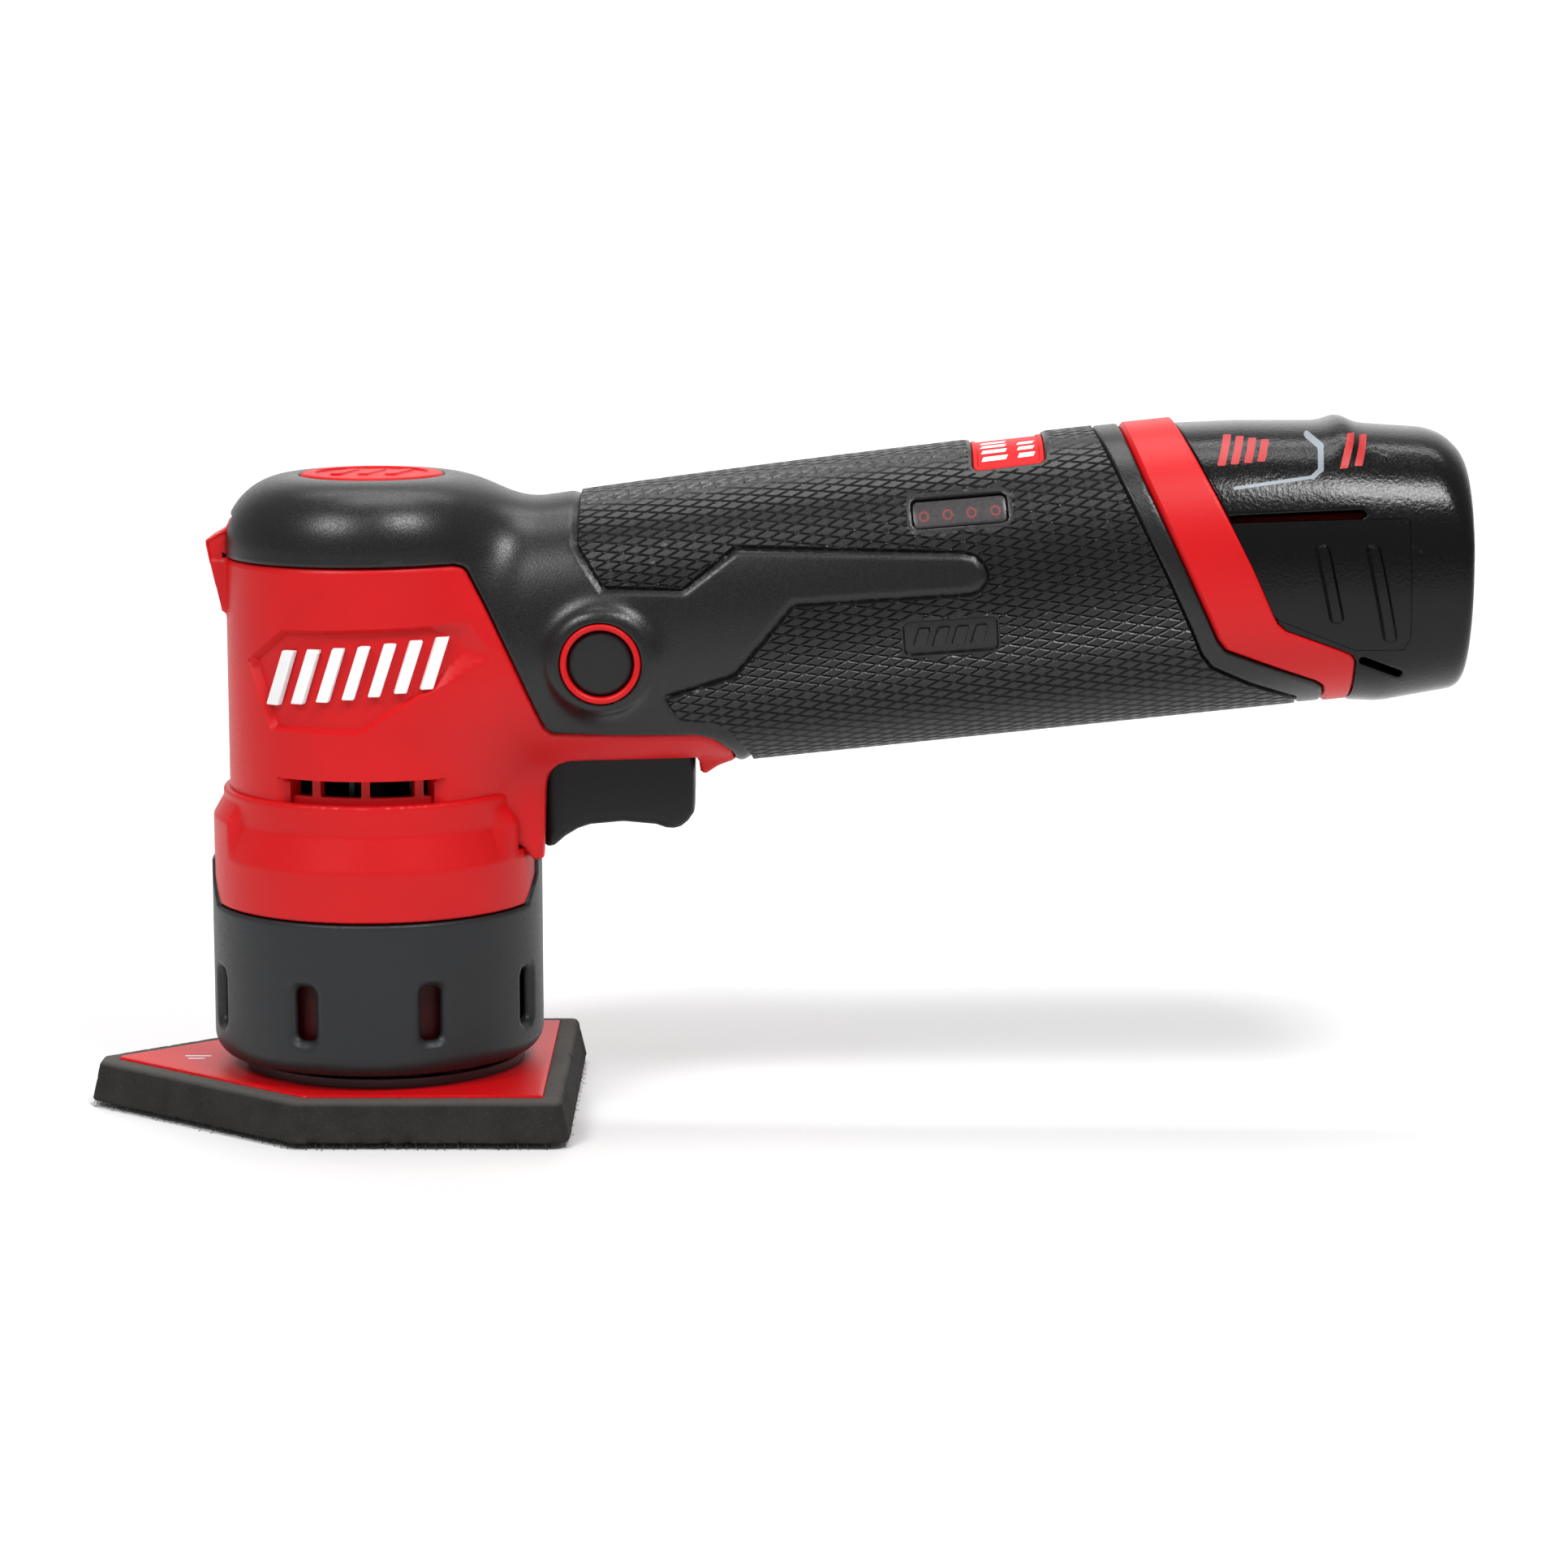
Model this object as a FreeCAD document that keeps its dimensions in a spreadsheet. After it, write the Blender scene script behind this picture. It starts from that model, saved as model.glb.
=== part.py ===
import FreeCAD, Part
import math
import os
import Sketcher

# Cordless orbital detail sander. Millimetres. The origin is the spindle axis at
# the bottom of the hook face. +X points to the battery, the pad's nose points
# to -X, +Z is up and the sides are mirror images about y = 0.

DIMENSIONS = {
    # pad
    "hook_height": 1.3,
    "foam_top": 8.9,
    "foam_flare": 1.7,
    "pad_half_width": 38.0,
    "pad_nose_x": -56.3,
    "pad_nose_half": 3.0,
    "pad_shoulder_x": -13.4,
    "pad_back_x": 38.7,
    "pad_corner": 3.0,
    "plate_inset": 5.2,
    "plate_bottom": 7.7,
    "plate_top": 9.3,
    # orbit drive
    "orbit": 1.0,
    "carrier_r": 27.0,
    "carrier_top": 11.0,
    "hub_r": 14.5,
    "hub_top": 21.5,
    "bearing_r": 11.0,
    "bearing_bore_r": 4.0,
    "running_gap": 0.03,
    "pin_bottom": 13.9,
    "bearing_bottom": 14.0,
    "bearing_width": 7.0,
    "post_circle_r": 20.0,
    "post_r": 2.5,
    "post_top": 39.0,
    "post_boss_r": 4.2,
    "screw_circle_r": 18.5,
    "pad_screw_r": 1.9,
    "weight_bottom": 24.0,
    "weight_top": 34.0,
    "weight_r": 16.0,
    # motor
    "shaft_r": 2.5,
    "shaft_low_r": 4.0,
    "shaft_bottom": 26.0,
    "shaft_top": 117.0,
    "mount_bottom": 36.0,
    "mount_top": 50.0,
    "mount_r": 27.2,
    "low_bearing_z": 42.0,
    "fan_bottom": 60.0,
    "fan_top": 69.0,
    "fan_r": 20.0,
    "stator_bottom": 76.0,
    "stator_top": 96.0,
    "stator_r": 22.0,
    "rotor_r": 11.0,
    "air_gap": 0.6,
    "top_bearing_z": 111.0,
    "top_bearing_r": 8.0,
    "top_bearing_width": 5.0,
    # shroud and collar
    "shroud_bottom": 11.4,
    "shroud_top": 41.7,
    "shroud_tab_top": 49.8,
    "shroud_r": 32.0,
    "shroud_wall": 2.3,
    "shroud_slot_low": 19.4,
    "shroud_slot_high": 29.6,
    "shroud_slot_width": 4.4,
    "collar_bottom": 41.9,
    "collar_top": 63.8,
    "collar_r": 31.4,
    "collar_neck_r": 29.4,
    "collar_bore_r": 27.4,
    "liner_r": 28.3,
    "liner_bottom": 22.5,
    # head and handle
    "head_r": 28.4,
    "head_top": 123.6,
    "head_fillet": 13.0,
    "grip_skin": 1.6,
    "shell": 3.6,
    "cap_r": 13.8,
    "cap_top": 123.9,
    "badge_half": 14.5,
    "trigger_front": 34.1,
    "trigger_back": 61.9,
    "trigger_half": 8.4,
    "trigger_gap": 0.5,
    "button_x": 44.5,
    "button_z": 90.2,
    "button_r": 6.1,
    "button_ring_r": 7.6,
    "button_face": 25.0,
    "button_depth": 10.0,
    # battery
    "stem_r": 20.6,
    "stem_length": 92.0,
    "cell_r": 9.1,
    "cell_length": 65.0,
    "case_wall": 2.2,
    "case_end": 206.6,
    "core_end": 200.0,
    "battery_gap": 0.35,
}

# Handle sections: distance along X, top, bottom and half width.
GRIP_STATIONS = (
    (8.0, 117.5, 66.0, 21.4),
    (31.0, 119.2, 66.4, 22.2),
    (50.0, 122.0, 67.3, 23.0),
    (72.0, 124.8, 69.4, 23.8),
    (100.0, 128.2, 71.6, 24.6),
    (137.0, 132.5, 75.6, 25.7),
    (165.0, 135.2, 78.5, 26.3),
    (192.0, 137.2, 81.1, 26.6),
)

# Battery case sections, set slightly inside the handle's end band.
CASE_STATIONS = (
    (146.0, 132.4, 77.2, 25.6),
    (165.0, 133.5, 78.9, 26.0),
    (182.0, 133.5, 80.5, 26.1),
    (200.0, 132.4, 82.0, 26.0),
    (209.6, 129.6, 84.0, 24.6),
)

# Side view outlines, as (x, z). They run along the joints between the pieces.
HEAD_SEAM = ((19.8, 108.5), (29.6, 88.1), (34.3, 78.2), (36.0, 77.2), (62.7, 76.3), (69.2, 73.4))
BAND_FRONT = ((181.5, 74.0), (178.4, 86.8), (162.3, 91.7), (160.0, 93.7), (139.0, 139.5))
BAND_BACK = ((150.0, 139.0), (170.5, 99.0), (172.9, 96.0), (185.8, 91.7), (185.2, 74.0))
LEG = ((24, 53.3), (28.4, 53.3), (30.8, 50.4), (33.0, 50.4), (33.3, 51.4), (33.6, 60.3),
       (33.9, 65.8), (35.5, 68.5), (38.6, 69.8), (38.6, 76.0), (24, 76.0))
LUG = ((-26.0, 98.0), (-28.5, 98.3), (-30.8, 106.9), (-31.7, 111.5), (-27.6, 113.5), (-26.0, 113.5))
TRIGGER = ((34.1, 76.0), (34.1, 52.0), (34.8, 52.0), (37.0, 54.1), (41.7, 56.5), (48.0, 57.0),
           (54.3, 56.5), (57.8, 55.6), (60.6, 57.2), (61.9, 59.0), (61.9, 76.0))
LATCH = ((161.2, 117.0), (168.0, 100.9), (171.6, 98.3), (186.0, 92.5), (194.0, 96.0), (195.5, 117.6))
LENS_CENTRE = (111.7, 118.6)
HOUSING_SCREWS = ((28.4, 77.0), (28.4, 109.5), (67.5, 79.5), (74.0, 116.0), (103.0, 80.0), (100.5, 119.5))
HANDLE_TILT = 6.1
AXIS_POINT = (137.0, 104.1)
WIDE = 120.0


class Dim:
    """A size together with the sheet expression that gives it."""

    def __init__(self, value, text):
        self.value = value
        self.text = text

    def join(self, other, sign, value):
        return Dim(value, "(%s %s %s)" % (self.text, sign, text_of(other)))

    def __add__(self, other):
        return self.join(other, "+", self.value + value_of(other))

    def __sub__(self, other):
        return self.join(other, "-", self.value - value_of(other))

    def __mul__(self, other):
        return self.join(other, "*", self.value * value_of(other))

    def __truediv__(self, other):
        return self.join(other, "/", self.value / value_of(other))

    def __neg__(self):
        return Dim(-self.value, "(0 - %s)" % self.text)


def value_of(size):
    """The number in a size, which is a Dim or a plain number."""
    if isinstance(size, Dim):
        return size.value
    return float(size)


def text_of(size):
    """The sheet expression of a size."""
    if isinstance(size, Dim):
        return size.text
    return "(%.6f)" % float(size)


class Sizes:
    """The driving dimensions, read as attributes."""


doc = FreeCAD.newDocument("detail_sander")
sheet = doc.addObject("Spreadsheet::Sheet", "dims")
d = Sizes()
sub_parts = []


def fill_sheet():
    """Write every driving dimension to a cell with an alias."""
    sizes = dict(DIMENSIONS)
    for kind, stations in (("grip", GRIP_STATIONS), ("case", CASE_STATIONS)):
        for number, station in enumerate(stations):
            for word, size in zip(("x", "top", "low", "half"), station):
                sizes["%s_%s_%d" % (kind, word, number)] = size
    for row, (alias, size) in enumerate(sizes.items(), start=1):
        sheet.set("A%d" % row, alias)
        sheet.set("B%d" % row, str(size))
        sheet.setAlias("B%d" % row, alias)
        setattr(d, alias, Dim(float(size), "dims." + alias))
    doc.recompute()


def bind(thing, path, size):
    """Set a property through its sheet expression, or plainly for a fixed number."""
    if isinstance(size, Dim):
        thing.setExpression(path, size.text)
    elif "." not in path:
        setattr(thing, path, float(size))


def add_sub_part(thing, name):
    """Name a finished sub-part, which is written to its own file."""
    thing.Label = name
    sub_parts.append(thing)
    return thing


# ---- PartDesign helpers ----


def new_body(name):
    body = doc.addObject("PartDesign::Body", name)
    return add_sub_part(body, name)


def origin_feature(body, role):
    return [one for one in body.Origin.OriginFeatures if one.Role == role][0]


def new_sketch(body, plane, name, offset=0.0, turn=None):
    """A sketch on one of the body's own origin planes, moved along its normal."""
    sketch = body.newObject("Sketcher::SketchObject", "%s_%s" % (body.Name, name))
    sketch.AttachmentSupport = (origin_feature(body, plane), [""])
    sketch.MapMode = "FlatFace"
    rotation = turn or FreeCAD.Rotation()
    sketch.AttachmentOffset = FreeCAD.Placement(FreeCAD.Vector(0, 0, value_of(offset)), rotation)
    if isinstance(offset, Dim):
        sketch.setExpression("AttachmentOffset.Base.z", offset.text)
    return sketch


def fix_point(sketch, geometry, point, x, y):
    """Tie one point of a sketch to its coordinates."""
    for kind, axis, size in (("DistanceX", -2, x), ("DistanceY", -1, y)):
        if abs(value_of(size)) < 1e-9:
            sketch.addConstraint(Sketcher.Constraint("PointOnObject", geometry, point, axis))
            continue
        rule = Sketcher.Constraint(kind, -1, 1, geometry, point, value_of(size))
        index = sketch.addConstraint(rule)
        if isinstance(size, Dim):
            sketch.setExpression("Constraints[%d]" % index, size.text)


def draw_polygon(sketch, points):
    """A closed outline whose corners are tied to their coordinates."""
    corners = [FreeCAD.Vector(value_of(x), value_of(y), 0) for x, y in points]
    first = sketch.GeometryCount
    lines = [Part.LineSegment(a, b) for a, b in zip(corners, corners[1:] + corners[:1])]
    sketch.addGeometry(lines, False)
    count = len(points)
    joints = [Sketcher.Constraint("Coincident", first + i, 2, first + (i + 1) % count, 1)
              for i in range(count)]
    sketch.addConstraint(joints)
    for i, (x, y) in enumerate(points):
        fix_point(sketch, first + i, 1, x, y)
    return sketch


def draw_circle(sketch, radius, x=0.0, y=0.0):
    """A circle tied to its centre and radius."""
    centre = FreeCAD.Vector(value_of(x), value_of(y), 0)
    circle = Part.Circle(centre, FreeCAD.Vector(0, 0, 1), value_of(radius))
    index = sketch.addGeometry(circle, False)
    fix_point(sketch, index, 3, x, y)
    rule = sketch.addConstraint(Sketcher.Constraint("Radius", index, value_of(radius)))
    if isinstance(radius, Dim):
        sketch.setExpression("Constraints[%d]" % rule, radius.text)
    return sketch


def draw_box(sketch, low, high):
    """An axis-aligned rectangle from its low corner to its high corner."""
    return draw_polygon(sketch, (low, (high[0], low[1]), high, (low[0], high[1])))


def pad(body, sketch, length, symmetric=False, taper=0.0):
    feature = body.newObject("PartDesign::Pad", sketch.Name + "_pad")
    feature.Profile = sketch
    feature.SideType = "Symmetric" if symmetric else "One side"
    bind(feature, "Length", length)
    feature.TaperAngle = taper
    sketch.Visibility = False
    body.Tip = feature
    return feature


def pocket(body, sketch, length, symmetric=False, backwards=False):
    feature = body.newObject("PartDesign::Pocket", sketch.Name + "_pocket")
    feature.Profile = sketch
    feature.SideType = "Symmetric" if symmetric else "One side"
    feature.Reversed = backwards
    bind(feature, "Length", length)
    body.Tip = feature
    return feature


def turned(body, sketch, angle=360.0, kind="PartDesign::Revolution"):
    """Turn a profile about the sketch's upright axis, evenly to both sides."""
    feature = body.newObject(kind, sketch.Name + "_turn")
    feature.Profile = sketch
    feature.ReferenceAxis = (sketch, ["V_Axis"])
    feature.Angle = angle
    feature.Midplane = angle < 360.0
    body.Tip = feature
    return feature


def around(body, feature, count):
    """Repeat a feature evenly about the upright axis."""
    pattern = body.newObject("PartDesign::PolarPattern", feature.Name + "_round")
    pattern.Originals = [feature]
    pattern.Axis = (origin_feature(body, "Z_Axis"), [""])
    pattern.Angle = 360.0
    pattern.Occurrences = count
    body.Tip = pattern
    return pattern


def turned_body(name, profile, x=0.0):
    """A body of revolution about the upright axis, moved along X."""
    body = new_body(name)
    turned(body, draw_polygon(new_sketch(body, "XZ_Plane", "profile"), profile))
    if isinstance(x, Dim):
        body.setExpression("Placement.Base.x", x.text)
    return body


def round_upright_edges(body, feature, radius):
    """Round the edges that join the top and bottom outlines of a prism."""
    doc.recompute()
    names = []
    for number, edge in enumerate(feature.Shape.Edges, start=1):
        ends = [vertex.Point for vertex in edge.Vertexes]
        if len(ends) == 2 and abs(ends[0].z - ends[1].z) > 0.5:
            names.append("Edge%d" % number)
    fillet = body.newObject("PartDesign::Fillet", feature.Name + "_round")
    fillet.Base = (feature, names)
    bind(fillet, "Radius", radius)
    body.Tip = fillet
    return fillet


# ---- Part helpers ----


def cylinder(name, radius, height, base=(0, 0, 0), axis="z", tilt=0.0):
    """A cylinder from its base point along an axis: z, y (across) or grip (tilted X)."""
    solid = doc.addObject("Part::Cylinder", name)
    bind(solid, "Radius", radius)
    bind(solid, "Height", height)
    turns = {"z": FreeCAD.Rotation(), "y": FreeCAD.Rotation(FreeCAD.Vector(1, 0, 0), -90),
             "grip": FreeCAD.Rotation(FreeCAD.Vector(0, 1, 0), 90 - tilt)}
    place(solid, base, turns[axis])
    return solid


def place(thing, base, rotation=None):
    """Put a thing at its base point, bound to the sheet where the point is."""
    point = FreeCAD.Vector(*[value_of(one) for one in base])
    thing.Placement = FreeCAD.Placement(point, rotation or FreeCAD.Rotation())
    for letter, one in zip("xyz", base):
        if isinstance(one, Dim):
            thing.setExpression("Placement.Base." + letter, one.text)


def box(name, low, high):
    """A box from its low corner to its high corner."""
    solid = doc.addObject("Part::Box", name)
    spans = [size_between(a, b) for a, b in zip(low, high)]
    for side, span in zip(("Length", "Width", "Height"), spans):
        bind(solid, side, span)
    place(solid, low)
    return solid


def size_between(low, high):
    if isinstance(low, Dim) or isinstance(high, Dim):
        high_dim = high if isinstance(high, Dim) else Dim(float(high), text_of(high))
        return high_dim - low
    return high - low


def prism(name, outline, half_width):
    """A side view outline (x, z) extruded across, evenly about y = 0."""
    sketch = doc.addObject("Sketcher::SketchObject", name + "_outline")
    sketch.Placement = FreeCAD.Placement(FreeCAD.Vector(0, 0, 0),
                                         FreeCAD.Rotation(FreeCAD.Vector(1, 0, 0), 90))
    draw_polygon(sketch, outline)
    solid = doc.addObject("Part::Extrusion", name)
    solid.Base = sketch
    solid.DirMode = "Normal"
    solid.Solid = True
    solid.Symmetric = True
    bind(solid, "LengthFwd", half_width * 2)
    return solid


def cut(name, base, *tools):
    """A base with one or more tools taken away."""
    result = doc.addObject("Part::Cut", name)
    result.Base = base
    result.Tool = tools[0] if len(tools) == 1 else fuse(name + "_tools", *tools)
    return result


def fuse(name, *solids):
    result = doc.addObject("Part::MultiFuse", name)
    result.Shapes = list(solids)
    return result


def common(name, *solids):
    result = doc.addObject("Part::MultiCommon", name)
    result.Shapes = list(solids)
    return result


def group(name, *solids):
    """Separate solids of one kind that share a node."""
    result = doc.addObject("Part::Compound", name)
    result.Links = list(solids)
    return result


def section_loft(name, kind, numbers, skin, last_x=None):
    """A loft through upright ellipses, set inside the outer surface by skin."""
    sections = []
    for number in numbers:
        top = getattr(d, "%s_top_%d" % (kind, number)) - skin
        low = getattr(d, "%s_low_%d" % (kind, number)) + skin
        half = getattr(d, "%s_half_%d" % (kind, number)) - skin
        along = getattr(d, "%s_x_%d" % (kind, number))
        if last_x is not None and number == numbers[-1]:
            along = last_x
        ring = doc.addObject("Part::Ellipse", "%s_ring_%d" % (name, number))
        tall = (top - low) / 2
        upright = tall.value >= half.value
        bind(ring, "MajorRadius", tall if upright else half)
        bind(ring, "MinorRadius", half if upright else tall)
        face_along = FreeCAD.Rotation(FreeCAD.Vector(0, 1, 0), -90)
        quarter = FreeCAD.Rotation(FreeCAD.Vector(0, 0, 1), 0 if upright else 90)
        place(ring, (along, 0.0, (top + low) / 2), face_along.multiply(quarter))
        sections.append(ring)
    loft = doc.addObject("Part::Loft", name)
    loft.Sections = sections
    loft.Solid = True
    loft.Ruled = False
    return loft


def head_form(name, skin):
    """The upright head: a cylinder with a large round on its top edge."""
    low = d.collar_top
    body = cylinder(name + "_barrel", d.head_r - skin, d.head_top - low - skin, (0, 0, low))
    doc.recompute()
    top_edge = max(range(len(body.Shape.Edges)),
                   key=lambda i: body.Shape.Edges[i].BoundBox.ZMin) + 1
    rounded = doc.addObject("Part::Fillet", name)
    rounded.Base = body
    radius = DIMENSIONS["head_fillet"] - value_of(skin)
    rounded.Edges = [(top_edge, radius, radius)]
    return rounded


def grip_point(along, across=0.0, up=0.0):
    """A point given along, across and above the handle's tilted axis."""
    angle = math.radians(HANDLE_TILT)
    x = AXIS_POINT[0] + along * math.cos(angle) - up * math.sin(angle)
    z = AXIS_POINT[1] + along * math.sin(angle) + up * math.cos(angle)
    return (x, across, z)


def grip_cylinder(name, radius, start, length, across=0.0, up=0.0):
    return cylinder(name, radius, length, grip_point(start, across, up), "grip", HANDLE_TILT)


# ---- pad ----


def pad_outline(grow):
    """Half-hexagon pad outline with a blunt nose, grown outwards."""
    wide = d.pad_half_width + grow
    nose = d.pad_nose_half + grow * 0.4
    return ((d.pad_back_x + grow, -wide), (d.pad_back_x + grow, wide),
            (d.pad_shoulder_x - grow * 0.3, wide), (d.pad_nose_x - grow, nose),
            (d.pad_nose_x - grow, -nose), (d.pad_shoulder_x - grow * 0.3, -wide))


def pad_screw_centres():
    reach = d.screw_circle_r * math.sqrt(0.5)
    return [(d.orbit + reach * a, reach * b) for a in (-1, 1) for b in (-1, 1)]


def drill_pad_holes(body, radius, bottom, depth):
    sketch = new_sketch(body, "XY_Plane", "screw_holes", bottom)
    for x, y in pad_screw_centres():
        draw_circle(sketch, radius, x, y)
    return pocket(body, sketch, depth, backwards=True)


def make_hook_layer():
    body = new_body("hook_layer")
    base = pad(body, draw_polygon(new_sketch(body, "XY_Plane", "outline"), pad_outline(-0.15)),
               d.hook_height)
    round_upright_edges(body, base, d.pad_corner)
    drill_pad_holes(body, 4.2, 0.0, d.hook_height)


def make_pad_foam():
    """Foam block whose sides flare outwards to the hook face, with a seat for the plate."""
    body = new_body("pad_foam")
    rise = DIMENSIONS["foam_top"] - DIMENSIONS["hook_height"]
    flare = -math.degrees(math.atan(DIMENSIONS["foam_flare"] / rise))
    sketch = draw_polygon(new_sketch(body, "XY_Plane", "outline", d.hook_height), pad_outline(0.0))
    base = pad(body, sketch, d.foam_top - d.hook_height, taper=flare)
    round_upright_edges(body, base, d.pad_corner)
    seat = draw_polygon(new_sketch(body, "XY_Plane", "seat", d.foam_top),
                        pad_outline(-d.plate_inset))
    pocket(body, seat, d.foam_top - d.plate_bottom)
    drill_pad_holes(body, 4.2, d.hook_height, d.foam_top - d.hook_height)


def make_pad_plate():
    body = new_body("pad_plate")
    outline = pad_outline(-d.plate_inset)
    sketch = draw_polygon(new_sketch(body, "XY_Plane", "outline", d.plate_bottom), outline)
    pad(body, sketch, d.plate_top - d.plate_bottom)
    drill_pad_holes(body, d.pad_screw_r + 0.2, d.plate_bottom, d.plate_top - d.plate_bottom)


def make_pad_carrier():
    """Flanged hub that holds the eccentric bearing, the guide posts and the pad screws."""
    body = new_body("pad_carrier")
    profile = ((d.bearing_bore_r + 1.5, d.plate_top), (d.carrier_r, d.plate_top),
               (d.carrier_r, d.carrier_top), (d.hub_r, d.carrier_top), (d.hub_r, d.hub_top),
               (d.bearing_r, d.hub_top), (d.bearing_r, d.bearing_bottom),
               (d.bearing_bore_r + 1.5, d.bearing_bottom))
    turned(body, draw_polygon(new_sketch(body, "XZ_Plane", "profile"), profile))
    boss = draw_circle(new_sketch(body, "XY_Plane", "boss", d.plate_top), d.post_boss_r,
                       d.post_circle_r)
    around(body, pad(body, boss, 6.7), 4)
    reach = d.screw_circle_r * math.sqrt(0.5)
    lift = new_sketch(body, "XY_Plane", "screw_boss", d.plate_top)
    around(body, pad(body, draw_circle(lift, 3.6, reach, reach), 5.7), 4)
    hole = draw_circle(new_sketch(body, "XY_Plane", "post_hole", d.carrier_top), d.post_r,
                       d.post_circle_r)
    around(body, pocket(body, hole, 20.0, backwards=True), 4)
    thread = new_sketch(body, "XY_Plane", "screw_hole", d.plate_top)
    around(body, pocket(body, draw_circle(thread, d.pad_screw_r, reach, reach), 5.0,
                        backwards=True), 4)
    body.setExpression("Placement.Base.x", d.orbit.text)


def make_pad_screws():
    """Four pan head screws that hold the pad to its carrier from below."""
    screws = []
    for number, (x, y) in enumerate(pad_screw_centres()):
        head = cylinder("pad_screw_head_%d" % number, 3.4, 1.9, (x, y, d.plate_bottom - 1.9))
        drive = cylinder("pad_screw_drive_%d" % number, 1.4, 1.2, (x, y, d.plate_bottom - 1.9))
        shank = cylinder("pad_screw_shank_%d" % number, d.pad_screw_r, 6.4,
                         (x, y, d.plate_bottom - 0.1))
        whole = fuse("pad_screw_whole_%d" % number, head, shank)
        screws.append(cut("pad_screw_%d" % number, whole, drive))
    add_sub_part(group("pad_screws_group", *screws), "pad_screws")


def make_guide_posts():
    posts = []
    for number, (a, b) in enumerate(((1, 0), (0, 1), (-1, 0), (0, -1))):
        base = (d.orbit + d.post_circle_r * a, d.post_circle_r * b, d.carrier_top)
        posts.append(cylinder("guide_post_%d" % number, d.post_r, d.post_top - d.carrier_top, base))
    add_sub_part(group("guide_posts_group", *posts), "guide_posts")


def bearing(name, bore, outer, bottom, width, x=0.0):
    """A sealed ball bearing with shallow shield faces."""
    third = (outer - bore) / 3
    top = bottom + width
    profile = ((bore, bottom), (bore + third, bottom), (bore + third, bottom + 0.4),
               (outer - third * 0.7, bottom + 0.4), (outer - third * 0.7, bottom), (outer, bottom),
               (outer, top), (outer - third * 0.7, top), (outer - third * 0.7, top - 0.4),
               (bore + third, top - 0.4), (bore + third, top), (bore, top))
    return turned_body(name, profile, x)


# ---- spindle ----


def make_motor_shaft():
    turned_body("motor_shaft", (
        (0.0, d.shaft_bottom), (d.shaft_low_r - 1.0, d.shaft_bottom),
        (d.shaft_low_r - 1.0, d.mount_bottom + 2.0),
        (d.shaft_low_r, d.mount_bottom + 2.0), (d.shaft_low_r, d.mount_top + 4.0),
        (d.shaft_r, d.mount_top + 4.0), (d.shaft_r, d.shaft_top), (0.0, d.shaft_top)))


def make_eccentric():
    """Eccentric pin and counterweight in one casting."""
    body = new_body("eccentric")
    disc = draw_circle(new_sketch(body, "XY_Plane", "disc", d.weight_bottom), 8.5)
    pad(body, disc, d.weight_top - d.weight_bottom)
    pin = draw_circle(new_sketch(body, "XY_Plane", "pin", d.pin_bottom), d.bearing_bore_r, d.orbit)
    pad(body, pin, d.weight_bottom - d.pin_bottom)
    weight = draw_polygon(new_sketch(body, "XZ_Plane", "weight"),
                          ((-d.weight_r, d.weight_bottom), (-5.0, d.weight_bottom),
                           (-5.0, d.weight_top), (-d.weight_r, d.weight_top)))
    turned(body, weight, 170.0)
    bore = draw_circle(new_sketch(body, "XY_Plane", "bore", d.shaft_bottom), d.shaft_low_r - 1.0)
    pocket(body, bore, 12.0, backwards=True)


def make_cooling_fan():
    body = new_body("cooling_fan")
    hub = new_sketch(body, "XY_Plane", "hub", d.fan_bottom)
    draw_circle(hub, 6.0)
    draw_circle(hub, d.shaft_r)
    pad(body, hub, d.fan_top - d.fan_bottom)
    plate = new_sketch(body, "XY_Plane", "plate", d.fan_bottom)
    draw_circle(plate, d.fan_r)
    draw_circle(plate, 5.0)
    pad(body, plate, 1.2)
    blade = draw_box(new_sketch(body, "XY_Plane", "blade", d.fan_bottom),
                     (5.0, -0.5), (d.fan_r, 0.5))
    around(body, pad(body, blade, d.fan_top - d.fan_bottom), 11)


def make_rotor():
    body = new_body("rotor")
    ring = new_sketch(body, "XY_Plane", "ring", d.stator_bottom - 2.0)
    draw_circle(ring, d.rotor_r)
    draw_circle(ring, d.shaft_r)
    pad(body, ring, d.stator_top - d.stator_bottom + 4.0)
    notch = draw_circle(new_sketch(body, "XY_Plane", "balance_hole", d.stator_top + 2.0), 1.2, 7.5)
    around(body, pocket(body, notch, 3.0), 6)


# ---- motor parts that stand still ----


def make_stator():
    """Laminated ring with six teeth."""
    body = new_body("motor_stator")
    ring = new_sketch(body, "XY_Plane", "ring", d.stator_bottom)
    draw_circle(ring, d.stator_r)
    draw_circle(ring, d.stator_r - 3.5)
    pad(body, ring, d.stator_top - d.stator_bottom)
    tooth = draw_box(new_sketch(body, "XY_Plane", "tooth", d.stator_bottom),
                     (d.rotor_r + d.air_gap + 0.25, -2.0), (d.stator_r - 2.0, 2.0))
    around(body, pad(body, tooth, d.stator_top - d.stator_bottom), 6)


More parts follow.
